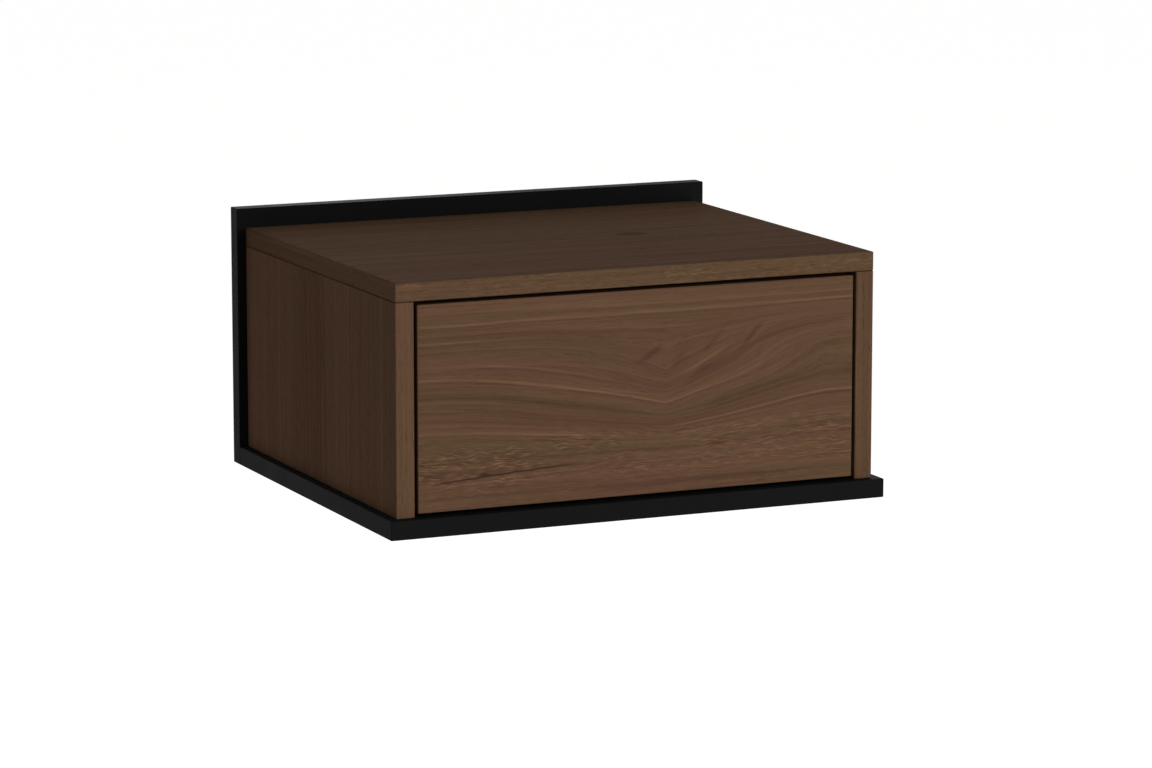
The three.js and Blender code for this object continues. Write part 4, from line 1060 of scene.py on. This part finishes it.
def make_keyhole_plates():
    hole, slot = KEYHOLE.radius, KEYHOLE.slot / 2
    for side in SIDES:
        node = f"keyhole_plate_{side}"
        low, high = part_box(node)
        middle = (low + high) / 2
        plate = rounded(slab("plate", low, high), KEYHOLE.corner)
        start, end = middle.y - high.y + low.y, middle.y + high.y - low.y
        entry = rod("entry", hole, start, end)
        round_end = moved(rod("end", slot, start, end), Matrix.Translation((0, 0, KEYHOLE.length)))
        shaft = slab("shaft", (-slot, start, 0), (slot, end, KEYHOLE.length))
        centred = Matrix.Translation((middle.x, 0, middle.z))
        tools = [moved(tool, centred) for tool in (entry, round_end, shaft)]
        tools += [sink_for(f"keyhole_screw_{side}_{place}", (0, -1, 0)) for place in ("upper", "lower")]
        put_in(combined(plate, tools), node)


def mirrored(half):
    """Completes the upper half of a section with its image below."""
    return half + [(x, -z) for x, z in reversed(half)]


def bent(piece, outer, inner):
    """Rounds the long bends of a folded sheet: wide on the outside, tight on the inside."""

    def wide_bend(edge):
        if not runs_along(edge, 1) or len(edge.link_faces) != 2:
            return False
        length = edge.calc_length()
        return all(face.calc_area() / length > BEND.least for face in edge.link_faces)

    softened(piece, outer, BEND_STEPS, lambda edge: wide_bend(edge) and edge.is_convex)
    softened(piece, inner, BEND_STEPS, lambda edge: wide_bend(edge) and not edge.is_convex)
    return piece


def folded(half, low, high):
    """A member folded from sheet: the upper half of its section, completed below, from low to high."""
    return bent(drawn("member", mirrored(half), low, high), BEND.outside, BEND.inside)


def slot_tool(place, x, upright):
    """A tool for a punched slot through the web at x: a round bar whose two halves are pulled apart."""
    axis = 2 if upright else 1
    bar = dict(vertices=PUNCH_SIDES, radius=PUNCH.radius, depth=4 * STEEL)
    place_in = dict(rotation=(0, math.pi / 2, 0), location=(x, place, 0))
    tool = added(bpy.ops.mesh.primitive_cylinder_add, "slot", **bar, **place_in)
    middle = (x, place, 0)[axis]
    for way in (1, -1):
        editing(tool)
        choose("VERT", lambda corner: way * (corner.co[axis] - middle) > TINY)
        shift = Vector((0, 0, 0))
        shift[axis] = way * PUNCH.slot / 2
        bpy.ops.transform.translate(value=shift)
        finished_editing()
    return tool


def access_tool(place, x):
    return moved(rod("access", PUNCH.access_radius, -2 * STEEL, 2 * STEEL), aimed((1, 0, 0), (x, place, 0)))


def punch_places(low, high):
    """Places of the punched slots along a member, one pitch apart between its two screws."""
    place = low + PUNCH.screw_inset + PUNCH.pitch
    places = []
    while place <= high - PUNCH.screw_inset - PUNCH.pitch / 2:
        places.append(place)
        place += PUNCH.pitch
    return places


def punched(member, places, x, turning, tools=()):
    """Cuts slots through the web at x, every second one upright where they turn, and the other tools."""
    slots_cut = [slot_tool(place, x, turning and index % 2 > 0) for index, place in enumerate(places)]
    return combined(member, [*tools, *slots_cut])


def slide_place(side):
    """The matrix from a slide's own frame, X inwards from the box side, to its place."""
    inward = SIDES[side]
    low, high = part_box(f"slide_cabinet_member_{side}")
    wall = low.x if inward > 0 else high.x
    return Matrix.Translation((wall, 0, (low.z + high.z) / 2)) @ Matrix.Diagonal((inward, 1, 1, 1))


def depth_of(node):
    low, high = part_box(node)
    return low.y, high.y


def cabinet_member_model(low, high):
    lip = CABINET.lip
    half = [
        (0, CABINET.half), (lip, CABINET.half), (lip, CABINET.lip_low), (lip - STEEL, CABINET.lip_low),
        (lip - STEEL, CABINET.half - STEEL), (STEEL, CABINET.half - STEEL),
    ]
    member = folded(half, low + STOP_GAP, high)
    tab = slab("tab", (STEEL / 2, high - STEEL, -TAB.half), (TAB.reach, high, TAB.half))
    rounded(tab, TAB.corner, where=lambda place: place.x > STEEL)
    combined(member, [tab], "UNION")
    return punched(member, punch_places(low, high), STEEL / 2, True)


def middle_member_model(low, high, cabinet_low, cabinet_high):
    web, lip = MIDDLE.web, MIDDLE.lip
    half = [
        (web, MIDDLE.shoulder), (web + STEEL, MIDDLE.shoulder), (web + STEEL, MIDDLE.flange),
        (lip, MIDDLE.flange), (lip, MIDDLE.lip_low), (lip - STEEL, MIDDLE.lip_low),
        (lip - STEEL, MIDDLE.flange - STEEL), (web + STEEL, MIDDLE.flange - STEEL),
    ]
    web += STEEL / 2
    member = folded(half, low, high)
    screws = (cabinet_low + PUNCH.screw_inset, cabinet_high - PUNCH.screw_inset)
    tools = [access_tool(place, web) for place in screws]
    return punched(member, punch_places(cabinet_low, cabinet_high), web, False, tools)


def drawer_member_model(low, high, pivot):
    shoulder, deep = DRAWER.shoulder, DRAWER.depth
    half = [
        (deep, DRAWER.flange), (shoulder + STEEL, DRAWER.flange), (shoulder + STEEL, DRAWER.shoulder_high),
        (shoulder, DRAWER.shoulder_high), (shoulder, DRAWER.flange - STEEL),
        (deep - STEEL, DRAWER.flange - STEEL),
    ]
    web = deep - STEEL
    neck = web - LEVER.thickness - 2 * FIT
    rivet = [
        (RIVET.head - 2 * EDGE, neck - RIVET.height), (RIVET.head - EDGE / 2, EDGE + neck - RIVET.height),
        (RIVET.head, neck), (RIVET.neck, neck), (RIVET.neck, web + STEEL / 2),
    ]
    member = folded(half, low, high)
    stud = moved(turned("rivet", [(radius, -x) for radius, x in rivet]), aimed((1, 0, 0), (0, pivot, 0)))
    combined(member, [stud], "UNION")
    clear = LEVER.reach + PUNCH.slot / 2 + PUNCH.radius
    places = [place for place in punch_places(low, high) if abs(place - pivot) > clear]
    return punched(member, places, web + STEEL / 2, True)


def ball_cage_model(low, high, web, race):
    """A folded strip with a window for each ball, and the balls in them."""
    reach = web + CAGE.reach
    centre = race - BALL.lane / 2
    top, under = centre + CAGE.sheet / 2, centre - CAGE.sheet / 2
    half = [(web, top), (reach, top), (reach, under), (web + CAGE.sheet, under)]
    cage = drawn("cage", mirrored(half), low, high)
    rounded(cage, CAGE.sheet, where=lambda place: place.x < web + TINY, steps=BEND_STEPS)
    step = (high - low - 2 * CAGE.end) / (BALLS_PER_ROW - 1)
    round_ball = dict(segments=BALL_SEGMENTS, ring_count=BALL_SEGMENTS // 2, radius=BALL.radius)
    windows, balls = [], []
    for level in (centre, -centre):
        for number in range(BALLS_PER_ROW):
            place = (reach - BALL.radius, low + CAGE.end + number * step, level)
            window = rod("window", BALL.radius + BALL.play, -CAGE.sheet, CAGE.sheet)
            windows.append(moved(window, aimed((0, 0, 1), place)))
            balls.append(added(bpy.ops.mesh.primitive_uv_sphere_add, "ball", location=place, **round_ball))
    combined(cage, windows)
    only(*balls, cage)
    bpy.ops.object.join()
    return cage


def release_lever_model():
    """The lever about its pivot, in the frame of a slide: finger pad to the front, hook to the rear."""
    pad, arm, reach, half = LEVER.pad_height / 2, LEVER.arm / 2, LEVER.reach, LEVER.thickness / 2
    pad_end, hook = reach - LEVER.pad, LEVER.tail - LEVER.hook
    outline = [
        (-reach, -pad), (-pad_end, -pad), (-pad_end, -arm), (LEVER.tail, -arm),
        (LEVER.tail, LEVER.hook_height - arm), (hook, LEVER.hook_height - arm), (hook, arm),
        (-pad_end, arm), (-pad_end, pad), (-reach, pad),
    ]
    lever = rounded(drawn("lever", outline, -half, half), LEVER.corner)
    combined(lever, [rod("hub", LEVER.hub, -half, half)], "UNION")
    bore = rod("bore", RIVET.neck + RIVET.play, -LEVER.thickness, LEVER.thickness)
    grooves = []
    for number in range(LEVER_GROOVES):
        x = -reach + (number + 1) * LEVER.pad / (LEVER_GROOVES + 1)
        for face in (-half, half):
            low = (x - LEVER.groove / 2, face - LEVER.groove / 2, -pad + LEVER.corner)
            high = (x + LEVER.groove / 2, face + LEVER.groove / 2, pad - LEVER.corner)
            grooves.append(slab("groove", low, high))
    return combined(lever, [bore, *grooves])


def make_slides():
    left = slide_place("left").inverted()
    cabinet = depth_of("slide_cabinet_member_left")
    drawer = depth_of("slide_drawer_member_left")
    cage = depth_of("slide_outer_ball_cage_left")
    pivot = drawer[0] + LEVER.setback
    models = {
        "cabinet_member": cabinet_member_model(*cabinet),
        "middle_member": middle_member_model(*depth_of("slide_middle_member_left"), *cabinet),
        "drawer_member": drawer_member_model(*drawer, pivot),
        "outer_ball_cage": ball_cage_model(*cage, CAGE.outer_web, CAGE.outer_race),
        "inner_ball_cage": ball_cage_model(*cage, CAGE.inner_web, CAGE.inner_race),
    }
    for kind, aim in (("cabinet", (-1, 0, 0)), ("drawer", (1, 0, 0))):
        sinks = [sink_for(f"slide_{kind}_screw_left_{end}", aim) for end in ("front", "rear")]
        combined(models[f"{kind}_member"], [moved(sink, left) for sink in sinks])
    for kind, model in models.items():
        for side in SIDES:
            node = f"slide_{kind}_{side}"
            put_in(copied(model, node, slide_place(side)), node)
    lever = release_lever_model()
    for side, inward in SIDES.items():
        node = f"slide_release_lever_{side}"
        low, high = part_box(node)
        place = Matrix.Translation(((low.x + high.x) / 2, pivot, slide_place(side).translation.z))
        across = Matrix(((0, 1, 0, 0), (1, 0, 0, 0), (0, 0, inward, 0), (0, 0, 0, 1)))
        put_in(copied(lever, node, place @ across), node)
    put_away(lever, *models.values())


# Push latch


def make_latch_housing():
    node = "latch_housing"
    low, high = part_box(node)
    half, foot = LATCH.width / 2, LATCH.width / 2 + LATCH.rise
    axis = (low.z + high.z) / 2
    barrel = slab("barrel", (-half, low.y, low.z), (half, high.y, high.z))
    rounded(barrel, LATCH.round, where=lambda place: place.z > axis)
    front = low.y + LATCH.flange_setback
    back = front + LATCH.flange_length
    flange = slab("flange", (low.x, front, low.z), (high.x, back, low.z + LATCH.flange))
    rounded(flange, LATCH.corner, axis=2)
    gussets = []
    for end in (front, back - LATCH.gusset):
        rib = slab("gusset", (-foot, end, low.z), (foot, end + LATCH.gusset, axis))
        narrowed(rib, lambda face: face.normal.z > END_FACE_TILT, (half / foot, 1, 1), (0, end, axis))
        gussets.append(rib)
    combined(barrel, [flange, *gussets], "UNION")
    bore_end = high.y - LATCH.rear_wall
    mouth = (LATCH.bore + EDGE + OVERRUN, low.y - OVERRUN)
    bore = turned("bore", [mouth, (LATCH.bore, low.y + EDGE), (LATCH.bore, bore_end)])
    moved(bore, Matrix.Translation((0, 0, axis)))
    window = slab("window", (-LATCH.window / 2, back, axis), (LATCH.window / 2, bore_end, high.z + OVERRUN))
    sinks = [sink_for(f"latch_screw_{side}", (0, 0, -1)) for side in SIDES]
    put_in(combined(barrel, [bore, window, *sinks]), node)


def make_plunger():
    low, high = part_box("latch_plunger")
    radius = (high.x - low.x) / 2
    axis = Matrix.Translation((0, 0, (low.z + high.z) / 2))
    outline = [(radius - EDGE, low.y), (radius, low.y + EDGE)]
    for number in range(PLUNGER_GROOVES):
        place = low.y + PLUNGER.neck + number * PLUNGER.pitch
        for step, depth in zip(RIDGE_STEPS, (0, PLUNGER.groove, PLUNGER.groove, 0)):
            outline.append((radius - depth, place + step * PLUNGER.pitch / 2))
    outline += [(radius, high.y - EDGE), (radius - EDGE, high.y)]
    put_in(moved(turned("plunger", outline), axis), "latch_plunger")
    low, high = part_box("latch_plunger_tip")
    radius = (high.x - low.x) / 2
    nose = [(radius - 3 * EDGE, low.y), (radius - EDGE, low.y + EDGE), (radius, low.y + 3 * EDGE)]
    put_in(moved(turned("tip", [*nose, (radius, high.y)]), axis), "latch_plunger_tip")


def make_latch_spring():
    """A round wire wound about the latch's axis."""
    node = "latch_spring"
    low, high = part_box(node)
    coil = (high.x - low.x) / 2 - WIRE_RADIUS
    wire = dict(vertices=WIRE_SIDES, radius=WIRE_RADIUS, location=(coil, 0, 0))
    spring = added(bpy.ops.mesh.primitive_circle_add, "spring", **wire)
    winding = spring.modifiers.new("winding", "SCREW")
    winding.axis = "Y"
    winding.angle = 2 * math.pi
    winding.screw_offset = (high.y - low.y - 2 * WIRE_RADIUS) / SPRING_TURNS
    winding.iterations = SPRING_TURNS
    winding.steps = winding.render_steps = STEPS_PER_TURN
    only(spring)
    bpy.ops.object.modifier_apply(modifier=winding.name)
    editing(spring)
    choose("EDGE", lambda edge: edge.is_boundary)
    bpy.ops.mesh.edge_face_add()
    finished_editing()
    moved(spring, Matrix.Translation((0, low.y + WIRE_RADIUS, (low.z + high.z) / 2)))
    put_in(spring, node, "latch_plunger")


def make_strike_plate():
    node = "latch_strike_plate"
    low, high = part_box(node)
    plate = rounded(slab("strike", low, high), STRIKE.corner)
    at_back = high.y - TINY
    softened(plate, STRIKE.edge, 2, lambda edge: all(corner.co.y > at_back for corner in edge.verts))
    put_in(plate, node)


make_screws()
make_cams()
make_keyhole_plates()
make_slides()
make_latch_housing()
make_plunger()
make_latch_spring()
make_strike_plate()

# Stage, light and camera


def glow_for_camera(nodes, strength):
    """A strength that only camera, mirror and glass rays see."""
    path = nodes.nodes.new("ShaderNodeLightPath").outputs
    rays = ("Is Camera Ray", "Is Glossy Ray", "Is Transmission Ray")
    camera, mirror, glass = (Value(nodes, path[ray]) for ray in rays)
    return nodes.math("MAXIMUM", nodes.math("MAXIMUM", camera, mirror), glass) * strength


def make_world():
    world = bpy.data.worlds.new("studio")
    bpy.context.scene.world = world
    world.use_nodes = True
    nodes = Nodes(world.node_tree)
    ground = nodes.nodes["Background"].inputs
    nodes.feed(ground["Color"], (1, 1, 1, 1))
    nodes.feed(ground["Strength"], glow_for_camera(nodes, 1 - AMBIENT) + AMBIENT)


def make_floor():
    height = cad_low.z - FLOOR.drop
    floor = added(bpy.ops.mesh.primitive_plane_add, "floor", size=FLOOR.reach, location=(0, 0, height))
    finish = Finish("pale_floor", specular=0)
    finish.shade("Base Color", (*FLOOR.colour, 1))
    finish.shade("Roughness", 1)
    finish.shade("Emission Color", (1, 1, 1, 1))
    finish.shade("Emission Strength", glow_for_camera(finish, FLOOR.glow))
    floor.data.materials.append(finish.material)


def held(name, data, place, turn):
    """Puts a camera or a lamp in its place."""
    holder = bpy.data.objects.new(name, data)
    bpy.context.scene.collection.objects.link(holder)
    holder.location, holder.rotation_euler = place, turn
    return holder


def make_lamp(name, place, size, power):
    lamp = bpy.data.lights.new(name, "AREA")
    lamp.size = size
    lamp.energy = power
    aim = (cad_low + cad_high) / 2 - Vector(place)
    held(name, lamp, place, aim.to_track_quat("-Z", "Y").to_euler())


def make_camera():
    camera = bpy.data.cameras.new("camera")
    camera.lens = CAMERA.lens
    camera.sensor_width = CAMERA.sensor
    camera.clip_end = 2 * FLOOR.reach
    turn = (math.pi / 2 - CAMERA.drop, 0, -CAMERA.turn)
    bpy.context.scene.camera = held("camera", camera, CAMERA.place, turn)


make_world()
make_floor()
for name, lamp in LAMPS.items():
    make_lamp(name, **lamp)
make_camera()
bpy.context.scene.view_settings.view_transform = "Standard"
